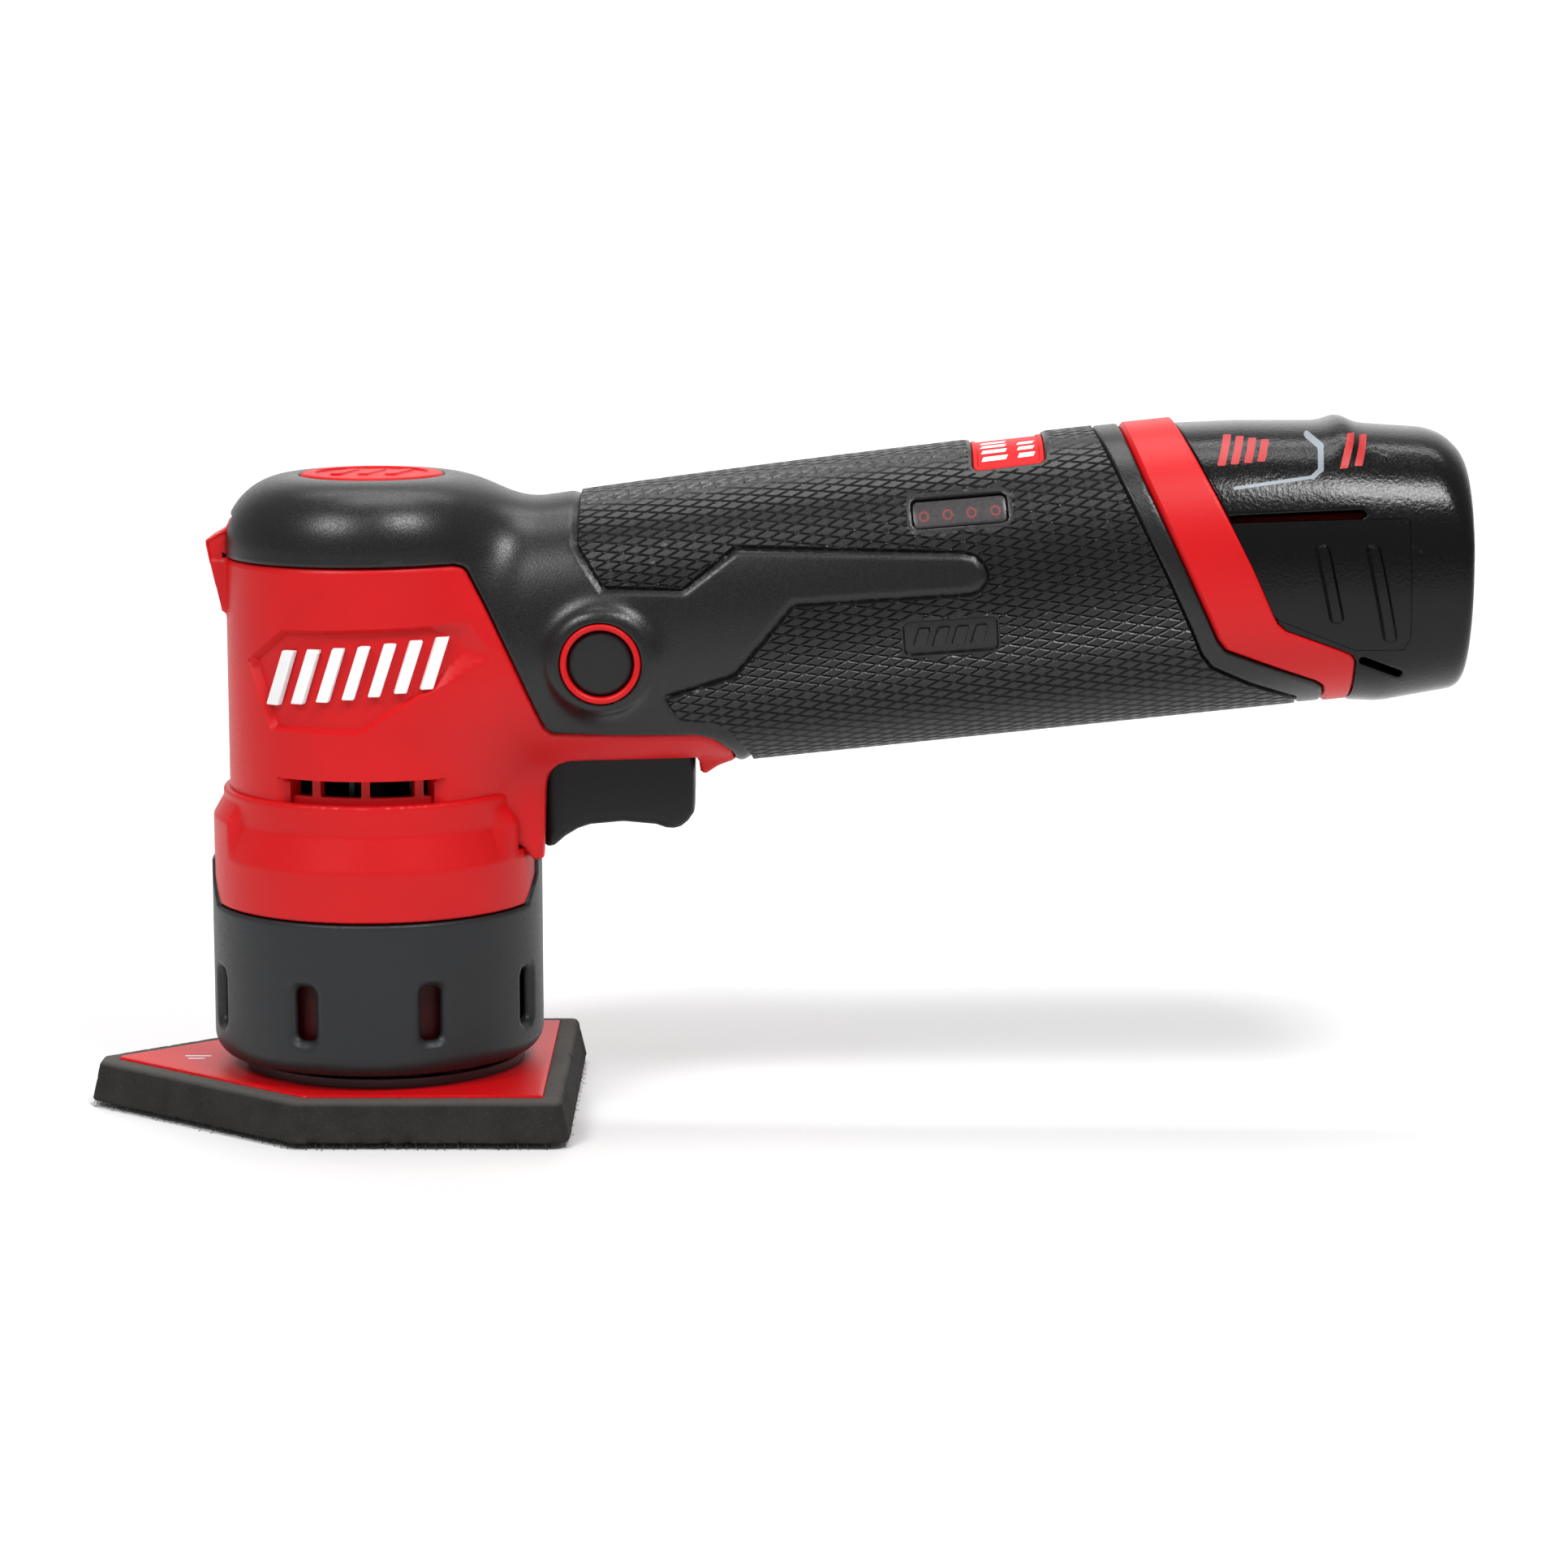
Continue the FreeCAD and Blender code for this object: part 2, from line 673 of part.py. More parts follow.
def make_windings():
    """Six copper coils, one round each tooth."""
    coils = []
    inner = DIMENSIONS["rotor_r"] + DIMENSIONS["air_gap"] + 1.4
    outer = DIMENSIONS["stator_r"] - 4.2
    for number in range(6):
        turn = FreeCAD.Rotation(FreeCAD.Vector(0, 0, 1), 60 * number)
        coil = box("coil_block_%d" % number, (inner, -4.2, d.stator_bottom - 3.0),
                   (outer, 4.2, d.stator_top + 3.0))
        slot = box("coil_slot_%d" % number, (inner - 1, -2.05, d.stator_bottom - 0.1),
                   (outer + 1, 2.05, d.stator_top + 0.1))
        for solid in (coil, slot):
            offset = FreeCAD.Placement(FreeCAD.Vector(0, 0, 0), turn)
            solid.Placement = offset.multiply(solid.Placement)
            solid.setExpression("Placement.Base.x", None)
        coils.append(cut("coil_%d" % number, coil, slot))
    add_sub_part(group("windings_group", *coils), "motor_windings")


def make_motor_mount():
    """Cast cup under the motor: lower bearing seat and four guide post sockets."""
    body = new_body("motor_mount")
    wall = d.mount_r - 1.9
    plate = d.mount_bottom + 3.5
    profile = ((d.mount_r, d.mount_bottom), (d.mount_r, d.mount_top), (wall, d.mount_top),
               (wall, plate), (d.bearing_r + 3.0, plate), (d.bearing_r + 3.0, d.mount_top + 0.5),
               (d.bearing_r, d.mount_top + 0.5), (d.bearing_r, d.low_bearing_z),
               (6.0, d.low_bearing_z), (6.0, d.mount_bottom))
    turned(body, draw_polygon(new_sketch(body, "XZ_Plane", "profile"), profile))
    socket = draw_circle(new_sketch(body, "XY_Plane", "socket", d.mount_bottom - 1.0),
                         d.post_r + d.orbit + 1.2, d.post_circle_r)
    around(body, pocket(body, socket, 6.0, backwards=True), 4)


def make_guide_bushings():
    """Rubber rings in the mount's sockets that the guide posts circle in."""
    rings = []
    for number, (a, b) in enumerate(((1, 0), (0, 1), (-1, 0), (0, -1))):
        base = (d.post_circle_r * a, d.post_circle_r * b, d.mount_bottom)
        outer = cylinder("bushing_out_%d" % number, d.post_r + d.orbit + 1.2, 3.5, base)
        inner = cylinder("bushing_in_%d" % number, d.post_r + d.orbit + 0.25, 3.5, base)
        rings.append(cut("bushing_%d" % number, outer, inner))
    add_sub_part(group("bushings_group", *rings), "guide_bushings")


def make_sensor_board():
    """Ring shaped board above the stator that reads the rotor's position."""
    body = new_body("sensor_board")
    ring = new_sketch(body, "XY_Plane", "ring", d.stator_top + 6.0)
    draw_circle(ring, d.stator_r + 2.4)
    draw_circle(ring, 6.0)
    pad(body, ring, 1.6)


# ---- shroud, collar and cap ----


def make_dust_shroud():
    body = new_body("dust_shroud")
    inside = d.shroud_r - d.shroud_wall
    profile = ((28.7, d.shroud_bottom), (29.3, d.shroud_bottom), (30.6, d.shroud_bottom + 1.1),
               (31.4, d.shroud_bottom + 2.9), (31.7, d.shroud_bottom + 5.4),
               (d.shroud_r, d.shroud_top), (inside, d.shroud_top), (inside, d.shroud_bottom + 4.0),
               (28.7, d.shroud_bottom + 1.4))
    turned(body, draw_polygon(new_sketch(body, "XZ_Plane", "profile"), profile))
    tab_low = d.shroud_top - 1.0
    for name, side in (("front_tab", -1.0), ("rear_tab", 1.0)):
        tab = new_sketch(body, "XZ_Plane", name)
        draw_polygon(tab, ((d.collar_r * side - 1.2 * side, tab_low), (d.shroud_r * side, tab_low),
                           (d.shroud_r * side, d.shroud_tab_top - 0.8),
                           (d.shroud_r * side - 0.8 * side, d.shroud_tab_top),
                           (d.collar_r * side - 1.2 * side, d.shroud_tab_top)))
        turned(body, tab, 42.0)
    turn = FreeCAD.Rotation(FreeCAD.Vector(0, 1, 0), 22.5)
    slot = new_sketch(body, "YZ_Plane", "slot", 0.0, turn)
    half = d.shroud_slot_width / 2
    draw_polygon(slot, ((-half, d.shroud_slot_low + 1.0), (1.0 - half.value, d.shroud_slot_low),
                        (half - 1.0, d.shroud_slot_low), (half, d.shroud_slot_low + 1.0),
                        (half, d.shroud_slot_high - 1.0), (half - 1.0, d.shroud_slot_high),
                        (1.0 - half.value, d.shroud_slot_high), (-half, d.shroud_slot_high - 1.0)))
    around(body, pocket(body, slot, 50.0, backwards=True), 8)


def make_collar():
    """Lower ring that clamps the two housing halves, carries the shroud and lines it inside."""
    body = new_body("lower_collar")
    skirt = d.shroud_r - d.shroud_wall - 0.1
    profile = ((d.collar_bore_r, d.liner_bottom), (d.liner_r, d.liner_bottom),
               (d.liner_r, d.collar_bottom - 5.0), (skirt, d.collar_bottom - 5.0),
               (skirt, d.collar_bottom), (d.collar_r, d.collar_bottom),
               (d.collar_r, d.collar_bottom + 9.4), (d.collar_neck_r, d.collar_bottom + 16.4),
               (d.collar_neck_r, d.collar_top), (d.collar_bore_r, d.collar_top))
    turned(body, draw_polygon(new_sketch(body, "XZ_Plane", "profile"), profile))
    for name, side, angle in (("front_block", -1.0, 68.0), ("rear_block", 1.0, 88.0)):
        block = new_sketch(body, "XZ_Plane", name)
        draw_polygon(block, ((28.6 * side, d.collar_bottom + 8.0),
                             (d.collar_r * side, d.collar_bottom + 8.0),
                             (d.collar_r * side, d.collar_bottom + 16.3),
                             (28.6 * side, d.collar_bottom + 19.3)))
        turned(body, block, angle)
    for name, side in (("front_notch", -1.0), ("rear_notch", 1.0)):
        notch = new_sketch(body, "XZ_Plane", name)
        draw_polygon(notch, (((d.collar_r - 1.3) * side, d.collar_bottom - 1.0),
                             (34.0 * side, d.collar_bottom - 1.0),
                             (34.0 * side, d.shroud_tab_top + 0.2),
                             ((d.collar_r - 1.3) * side, d.shroud_tab_top + 0.2)))
        turned(body, notch, 43.0, "PartDesign::Groove")


def make_head_cap():
    seat = d.head_top - d.grip_skin
    turned_body("head_cap", (
        (0.0, seat), (d.cap_r, seat), (d.cap_r, d.cap_top - 1.2), (d.cap_r - 1.2, d.cap_top - 0.5),
        (0.0, d.cap_top)))


# ---- housing and overmold ----


def screw_bosses(side):
    """Bosses that the housing screws run through, on one side."""
    bosses = []
    for number, (x, z) in enumerate(HOUSING_SCREWS):
        base = (x, 0.0 if side > 0 else -14.0, z)
        bosses.append(cylinder("boss_%s_%d" % ("r" if side > 0 else "l", number), 3.4, 14.0,
                               base, "y"))
    return bosses


def half_space(name, side):
    """One side of the plane y = 0."""
    low = -WIDE / 2 if side < 0 else 0.0
    return box(name, (-60.0, low, 0.0), (240.0, low + WIDE / 2, 160.0))


def vent_slots():
    """Four exhaust openings between three ribs in each side of the head."""
    slots = []
    for number in range(4):
        low = -12.0 + number * 6.6
        slots.append(box("vent_%d" % number, (low, -40.0, 64.6), (low + 5.9, 40.0, 69.3)))
    return slots


def slot_along_grip(name, length, width, depth):
    """A round-ended bar along the handle's slope, across the left side."""
    x, z = LENS_CENTRE
    angle = math.radians(HANDLE_TILT)
    reach = (length - width) / 2
    ends = []
    for number, side in enumerate((-1, 1)):
        base = (x + side * reach * math.cos(angle), -30.0, z + side * reach * math.sin(angle))
        ends.append(cylinder("%s_end_%d" % (name, number), width / 2, depth, base, "y"))
    middle = box(name + "_middle", (0.0, 0.0, 0.0), (2 * reach, depth, width))
    turn = FreeCAD.Rotation(FreeCAD.Vector(0, 1, 0), -HANDLE_TILT)
    corner = FreeCAD.Vector(x, -30.0, z) + turn.multVec(FreeCAD.Vector(-reach, 0, -width / 2))
    middle.Placement = FreeCAD.Placement(corner, turn)
    return fuse(name, ends[0], ends[1], middle)


def make_housing(outer, middle, inner, head_outer, head_middle):
    """Red clamshell halves: exposed skin at the head and end band, core elsewhere."""
    red_top = ((-60, 40), (69.2, 40)) + tuple(reversed(HEAD_SEAM)) + ((-60.0, 108.5),)
    red_front = prism("red_front", red_top, WIDE / 2)
    red_band = prism("red_band", BAND_FRONT + BAND_BACK, WIDE / 2)
    skin = fuse("outer_form", outer, head_outer)
    core = fuse("core_form", middle, head_middle)
    front = common("front_skin", skin, red_front)
    band = common("band_skin", outer, red_band)
    leg = prism("leg", LEG, 13.0)
    lug = prism("lug", LUG, 6.5)
    collar_room = cylinder("collar_room", d.collar_r + 0.3, d.collar_top - 40.0, (0, 0, 40.0))
    spigot = cut("spigot",
                 cylinder("spigot_out", d.collar_bore_r - 0.25, 12.0, (0, 0, d.collar_top - 11.8)),
                 cylinder("spigot_in", 24.8, 12.0, (0, 0, d.collar_top - 11.8)))
    solid = fuse("housing_solid", core, front, band, leg, lug)
    rooms = (
        inner,
        cylinder("motor_room", d.stator_r + 0.1, 60.0, (0, 0, 50.5)),
        cylinder("fan_room", 24.8, d.stator_bottom - d.collar_top, (0, 0, d.collar_top)),
        cylinder("board_room", 24.8, 13.5, (0, 0, d.stator_top + 1.0)),
        cylinder("bearing_room", d.top_bearing_r, 6.0, (0, 0, 110.2)),
        cylinder("shaft_room", 4.0, 8.0, (0, 0, 111.0)),
    )
    trigger_room = box("trigger_room", (d.trigger_front - 0.35, -d.trigger_half - d.trigger_gap, 55.0),
                       (d.trigger_back + 0.5, d.trigger_half + d.trigger_gap, 82.0))
    trigger_mouth = box("trigger_mouth", (38.6, -WIDE / 2, 50.0), (62.4, WIDE / 2, 69.8))
    behind = prism("battery_side", BAND_BACK + ((260, 74.0), (260, 139.0)), WIDE / 2)
    hollow = cut("housing_hollow", solid, collar_room, trigger_room, trigger_mouth, behind,
                 *rooms, *vent_slots())
    whole = fuse("housing_whole", hollow, spigot)
    lens_hole = slot_along_grip("lens_hole", 18.3, 5.3, 18.0)
    for name, side in (("left", -1), ("right", 1)):
        half = common("housing_%s_half" % name, whole, half_space("half_%s" % name, side))
        inside = cut("boss_core_%s" % name, common("boss_trim_%s" % name, core,
                     fuse("bosses_%s" % name, *screw_bosses(side))), collar_room, trigger_room)
        low = -d.button_face if side < 0 else d.button_face - 6.5
        ring = cylinder("ring_%s" % name, d.button_ring_r, 6.5,
                        (d.button_x, low, d.button_z), "y")
        hole_low = -30.0 if side < 0 else 14.0
        button_hole = cylinder("button_hole_%s" % name, d.button_r + 0.2, 16.0,
                               (d.button_x, hole_low, d.button_z), "y")
        holes = [button_hole]
        if side < 0:
            holes.append(lens_hole)
        for number, (x, z) in enumerate(HOUSING_SCREWS):
            low_y = -10.0 if side < 0 else -1.0
            holes.append(cylinder("screw_way_%s_%d" % (name, number), 1.55, 40.0 if side > 0 else 11.0,
                                  (x, low_y, z), "y"))
            if side > 0:
                holes.append(cylinder("head_way_%d" % number, 3.1, 30.0, (x, 13.0, z), "y"))
        joined = fuse("housing_%s_joined" % name, half, inside, ring)
        add_sub_part(cut("housing_%s_cut" % name, joined, *holes), "housing_" + name)
    return skin, core, lug


def make_housing_screws():
    screws = []
    for number, (x, z) in enumerate(HOUSING_SCREWS):
        head = cylinder("screw_head_%d" % number, 2.9, 2.2, (x, 13.0, z), "y")
        shank = cylinder("screw_shank_%d" % number, 1.45, 22.0, (x, -8.5, z), "y")
        drive = cylinder("screw_drive_%d" % number, 1.2, 1.5, (x, 13.9, z), "y")
        whole = fuse("screw_whole_%d" % number, head, shank)
        screws.append(cut("screw_%d" % number, whole, drive))
    add_sub_part(group("housing_screws_group", *screws), "housing_screws")


def make_overmold(skin, core, lug, badge_cut):
    """Soft black layer over the head's top, the neck and the grip, in two halves."""
    outline = HEAD_SEAM + BAND_FRONT + ((-60.0, 139.5), (-60.0, 108.5))
    region = prism("soft_region", outline, WIDE / 2)
    layer = cut("soft_layer", common("soft_form", skin, region), core)
    cap_hole = cylinder("cap_hole", d.cap_r + 0.05, 20.0, (0, 0, 116.0))
    lens_way = slot_along_grip("lens_way", 18.3, 5.3, 16.0)
    mouth = box("mouth_way", (30.0, -WIDE / 2, 50.0), (62.4, WIDE / 2, 69.8))
    for name, side in (("left", -1), ("right", 1)):
        low = -d.button_face + 0.6 if side < 0 else 17.5
        boss = cylinder("button_boss_%s" % name, 10.5, d.button_face.value - 18.1,
                        (d.button_x, low, d.button_z), "y")
        boss_shell = cut("button_boss_shell_%s" % name, boss, core)
        ring_low = -30.0 if side < 0 else 10.0
        ring_hole = cylinder("ring_hole_%s" % name, d.button_ring_r + 0.05, 20.0,
                             (d.button_x, ring_low, d.button_z), "y")
        half = common("overmold_half_%s" % name, layer, half_space("soft_half_%s" % name, side))
        tools = [ring_hole, cap_hole, mouth, badge_cut, lug]
        if side < 0:
            tools.append(lens_way)
        else:
            tools += [cylinder("soft_screw_way_%d" % i, 3.1, 30.0, (x, 13.0, z), "y")
                      for i, (x, z) in enumerate(HOUSING_SCREWS)]
        joined = fuse("overmold_joined_%s" % name, half, boss_shell)
        add_sub_part(cut("overmold_cut_%s" % name, joined, *tools), "overmold_" + name)


def make_badge(outer):
    """Thin plate let into the top of the grip."""
    under = section_loft("badge_under", "grip", range(8), 0.8)
    half = DIMENSIONS["badge_half"]
    gap = 0.1
    block = box("badge_block", (114.6, -half, 110.0), (127.6, half, 140.0))
    room = box("badge_room", (114.6 - gap, -half - gap, 110.0), (127.6 + gap, half + gap, 140.0))
    add_sub_part(cut("badge_cut_out", common("badge_form", outer, block), under), "top_badge")
    return cut("badge_way", room, under)


def make_gauge(outer):
    """Charge gauge: smoked lens, and a board with four light diodes behind it."""
    bar = slot_along_grip("lens_bar", 18.1, 5.1, 16.0)
    front = section_loft("lens_front", "grip", range(8), 0.6)
    back = section_loft("lens_back", "grip", range(8), 2.6)
    add_sub_part(cut("lens_shape", common("lens_form", front, bar), back), "gauge_lens")
    x, z = LENS_CENTRE
    board = box("gauge_board_plate", (x - 8.5, -13.6, z - 3.0), (x + 6.5, -12.6, z + 0.3))
    diodes = [box("diode_%d" % i, (x - 6.9 + 3.9 * i, -15.0, z - 1.8 + 0.4 * i),
                  (x - 5.3 + 3.9 * i, -13.6, z - 1.0 + 0.4 * i)) for i in range(4)]
    add_sub_part(fuse("gauge_board_fused", board, *diodes), "gauge_board")


# ---- switch, trigger and buttons ----


def make_trigger():
    """Paddle with a finger hollow, a guide block and a flange that stops it."""
    body = new_body("trigger")
    side = draw_polygon(new_sketch(body, "XZ_Plane", "side"), TRIGGER)
    pad(body, side, d.trigger_half * 2, symmetric=True)
    well = draw_circle(new_sketch(body, "XY_Plane", "spring_well", 76.0), 3.6, 48.0)
    pocket(body, well, 2.0)


def make_trigger_spring():
    """Compression spring between the trigger and the switch."""
    helix = doc.addObject("Part::Helix", "spring_path")
    helix.Pitch = 2.6
    helix.Height = 9.0
    helix.Radius = 2.6
    place(helix, (48.0, 0.0, 74.45))
    wire = doc.addObject("Part::Circle", "spring_wire")
    wire.Radius = 0.4
    place(wire, (50.6, 0.0, 74.45), FreeCAD.Rotation(FreeCAD.Vector(1, 0, 0), 90))
    spring = doc.addObject("Part::Sweep", "spring_sweep")
    spring.Sections = [wire]
    spring.Spine = (helix, [])
    spring.Solid = True
    spring.Frenet = True
    add_sub_part(spring, "trigger_spring")


def make_switch():
    case = box("switch_case", (36.5, -8.0, 84.0), (61.5, 8.0, 100.0))
    ear = box("switch_ear", (61.0, -5.0, 90.0), (64.0, 5.0, 94.0))
    add_sub_part(fuse("switch_fused", case, ear), "switch_body")


def make_lock_buttons():
    """Round lock-on buttons, one in each side of the neck."""
    for name, side in (("left", -1), ("right", 1)):
        face = d.button_face - 0.5
        low = -face if side < 0 else face - d.button_depth
        cap = cylinder("lock_cap_%s" % name, d.button_r, d.button_depth,
                       (d.button_x, low, d.button_z), "y")
        add_sub_part(cap, "lock_button_" + name)


def make_electronics():
    """Control board with its parts, and the socket that the battery plugs into."""
    board = box("board_plate", (68.0, -15.0, 88.0), (108.0, 15.0, 89.6))
    parts = [box("board_chip_%d" % i, (71.0 + 9.0 * i, -11.0, 89.6), (77.0 + 9.0 * i, -3.0, 92.0))
             for i in range(4)]
    tall = [cylinder("capacitor_%d" % i, 3.4, 12.0, (74.0 + 9.5 * i, 6.0, 89.6)) for i in range(3)]
    add_sub_part(fuse("board_fused", board, *parts, *tall), "control_board")
    block = grip_cylinder("socket_disc", 18.3, -28.0, 6.0)
    add_sub_part(block, "battery_socket")
    blades = []
    for number, across in enumerate((-8.0, 0.0, 8.0)):
        base = grip_point(-22.0, across - 0.4, -3.0)
        blade = doc.addObject("Part::Box", "blade_%d" % number)
        blade.Length = 9.0
        blade.Width = 0.8
        blade.Height = 6.0
        place(blade, base, FreeCAD.Rotation(FreeCAD.Vector(0, 1, 0), -HANDLE_TILT))
        blades.append(blade)
    add_sub_part(group("blades_group", *blades), "socket_blades")


# ---- battery ----


def make_battery():
    """Glossy case, red core with the cells, and two squeeze latches."""
    outside = section_loft("case_outside", "case", range(5), 0.0)
    inside = section_loft("case_inside", "case", range(5), d.case_wall, d.case_end)
    shell = cut("case_shell", outside, inside)
    gap = DIMENSIONS["battery_gap"]
    front = tuple((x + gap, z + gap) for x, z in BAND_BACK)
    region = prism("case_region", front + ((260, 74.0), (260, 139.0)), WIDE / 2)
    window = prism("latch_window", LATCH, WIDE / 2)
    centre = (sum(x for x, z in LATCH) / len(LATCH), sum(z for x, z in LATCH) / len(LATCH))
    tab = prism("latch_outline", tuple((x + 0.022 * (centre[0] - x), z + 0.034 * (centre[1] - z))
                                       for x, z in LATCH), WIDE / 2)
    body = common("case_body", shell, region)
    core_room = common("core_room", grip_cylinder("core_room_bar", d.stem_r, -12.0, 100.0),
                       box("core_room_trim", (0.0, -40.0, 60.0), (d.core_end, 40.0, 150.0)))
    add_sub_part(cut("case_cut", body, window, core_room), "battery_case")
    for name, side in (("left", -1), ("right", 1)):
        piece = common("latch_%s_form" % name, shell, region, tab,
                       half_space("latch_half_%s" % name, side))
        add_sub_part(cut("latch_%s_cut" % name, piece, core_room), "latch_" + name)
    make_battery_core()


def make_battery_core():
    stem = grip_cylinder("core_stem", d.stem_r, -17.0, d.stem_length)
    trim = box("core_trim", (0.0, -40.0, 60.0), (d.core_end, 40.0, 150.0))
    rooms = []
    cells = []
    aside = DIMENSIONS["cell_r"] + 0.3
    spots = ((-aside, -5.6), (aside, -5.6), (0.0, 10.7))
    for number, (across, up) in enumerate(spots):
        rooms.append(grip_cylinder("cell_room_%d" % number, d.cell_r + 0.1, -7.0,
                                   d.cell_length + 1.0, across, up))
        cells.append(grip_cylinder("cell_%d" % number, d.cell_r, -6.5, d.cell_length, across, up))
    ways = []
    for number, across in enumerate((-8.0, 0.0, 8.0)):
        way = doc.addObject("Part::Box", "blade_way_%d" % number)
        way.Length = 7.0
        way.Width = 1.6
        way.Height = 7.0
        place(way, grip_point(-18.0, across - 0.8, -3.5),
              FreeCAD.Rotation(FreeCAD.Vector(0, 1, 0), -HANDLE_TILT))
        ways.append(way)
    core = cut("core_cut", common("core_form", stem, trim), *rooms, *ways)
    add_sub_part(core, "battery_core")
    add_sub_part(group("cells_group", *cells), "battery_cells")


# ---- checks and output ----


def check_document():
    """Stop if any object failed or any sub-part is not a sound solid."""
    faults = []
    for thing in doc.Objects:
        if "Invalid" in thing.State or "Error" in thing.State:
            faults.append(thing.Label)
    for thing in sub_parts:
        shape = thing.Shape
        if shape.isNull() or not shape.isValid() or not shape.Solids:
            faults.append(thing.Label + " (shape)")
            continue
        print("%-20s %2d solids %10.1f mm3" % (thing.Label, len(shape.Solids), shape.Volume))
    if faults:
        raise RuntimeError("failed: " + ", ".join(faults))


def write_parts():
    os.makedirs("parts", exist_ok=True)
    for thing in sub_parts:
        thing.Shape.exportStep(os.path.join("parts", thing.Label + ".step"))


def main():
    fill_sheet()
    make_hook_layer()
    make_pad_foam()
    make_pad_plate()
    make_pad_carrier()
    make_pad_screws()
    make_guide_posts()
    bearing("eccentric_bearing", d.bearing_bore_r + d.running_gap, d.bearing_r,
            d.bearing_bottom, d.bearing_width, d.orbit)
    make_motor_shaft()
    make_eccentric()
    make_cooling_fan()
    make_rotor()
    make_stator()
    make_windings()
    make_motor_mount()
    make_guide_bushings()
    make_sensor_board()
    bearing("lower_bearing", d.shaft_low_r + d.running_gap, d.bearing_r, d.low_bearing_z,
            d.bearing_width)
    bearing("upper_bearing", d.shaft_r + d.running_gap, d.top_bearing_r, d.top_bearing_z,
            d.top_bearing_width)
    make_dust_shroud()
    make_collar()
    make_head_cap()
    outer = section_loft("grip_outer", "grip", range(8), 0.0)
    middle = section_loft("grip_middle", "grip", range(8), d.grip_skin)
    inner = section_loft("grip_inner", "grip", range(1, 8), d.shell, d.grip_x_7 + 3.0)
    head_outer = head_form("head_outer", 0.0)
    head_middle = head_form("head_middle", d.grip_skin)
    skin, core, lug = make_housing(outer, middle, inner, head_outer, head_middle)
    badge_cut = make_badge(outer)
    make_overmold(skin, core, lug, badge_cut)
    make_gauge(outer)
    make_housing_screws()
    make_trigger()
    make_trigger_spring()
    make_switch()
    make_lock_buttons()
    make_electronics()
    make_battery()
    doc.recompute()
    check_document()
    write_parts()


main()
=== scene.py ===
"""Detail mouse sander: the visible skins, finishes, light and camera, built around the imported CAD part.

Lengths in this file are millimetres until a mesh is made. X runs along the grip towards the
battery, Z is up, the pad's hook face is at z = 0 and the sides mirror about y = 0.
"""
import math

import bmesh
import bpy
import numpy as np
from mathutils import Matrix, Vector


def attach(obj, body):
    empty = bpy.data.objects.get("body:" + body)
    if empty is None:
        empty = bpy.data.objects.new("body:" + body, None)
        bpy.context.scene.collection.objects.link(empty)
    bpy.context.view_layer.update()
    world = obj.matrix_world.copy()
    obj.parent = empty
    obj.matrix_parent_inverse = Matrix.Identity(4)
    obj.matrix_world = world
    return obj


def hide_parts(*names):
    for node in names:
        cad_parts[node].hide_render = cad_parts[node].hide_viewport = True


MM = 0.001
SIDES = {"left": -1, "right": 1}


# ---------------------------------------------------------------- mesh tools
# A mesh is a pair: (n, 3) points and (m, 3) faces. A field gives each point's distance to a surface.

def gradient(field, points, step=0.02):
    """The field's slope at each point, by central differences."""
    slope = np.empty_like(points)
    for axis in range(3):
        offset = np.zeros(3)
        offset[axis] = step
        slope[:, axis] = (field(points + offset) - field(points - offset)) / (2 * step)
    return slope


def normals_of(field, points):
    slope = gradient(field, points)
    return slope / np.maximum(np.linalg.norm(slope, axis=1, keepdims=True), 1e-9)


def settle(field, points, rounds=3, reach=1.0):
    """Moves points onto the surface field = 0, along its slope."""
    points = points.copy()
    for _ in range(rounds):
        slope = gradient(field, points)
        square = np.maximum((slope ** 2).sum(1), 0.05)
        step = (field(points) / square)[:, None] * slope
        length = np.maximum(np.linalg.norm(step, axis=1, keepdims=True), 1e-9)
        points -= step * np.minimum(1, reach / length)
    return points


EVENING_ROUNDS = 3


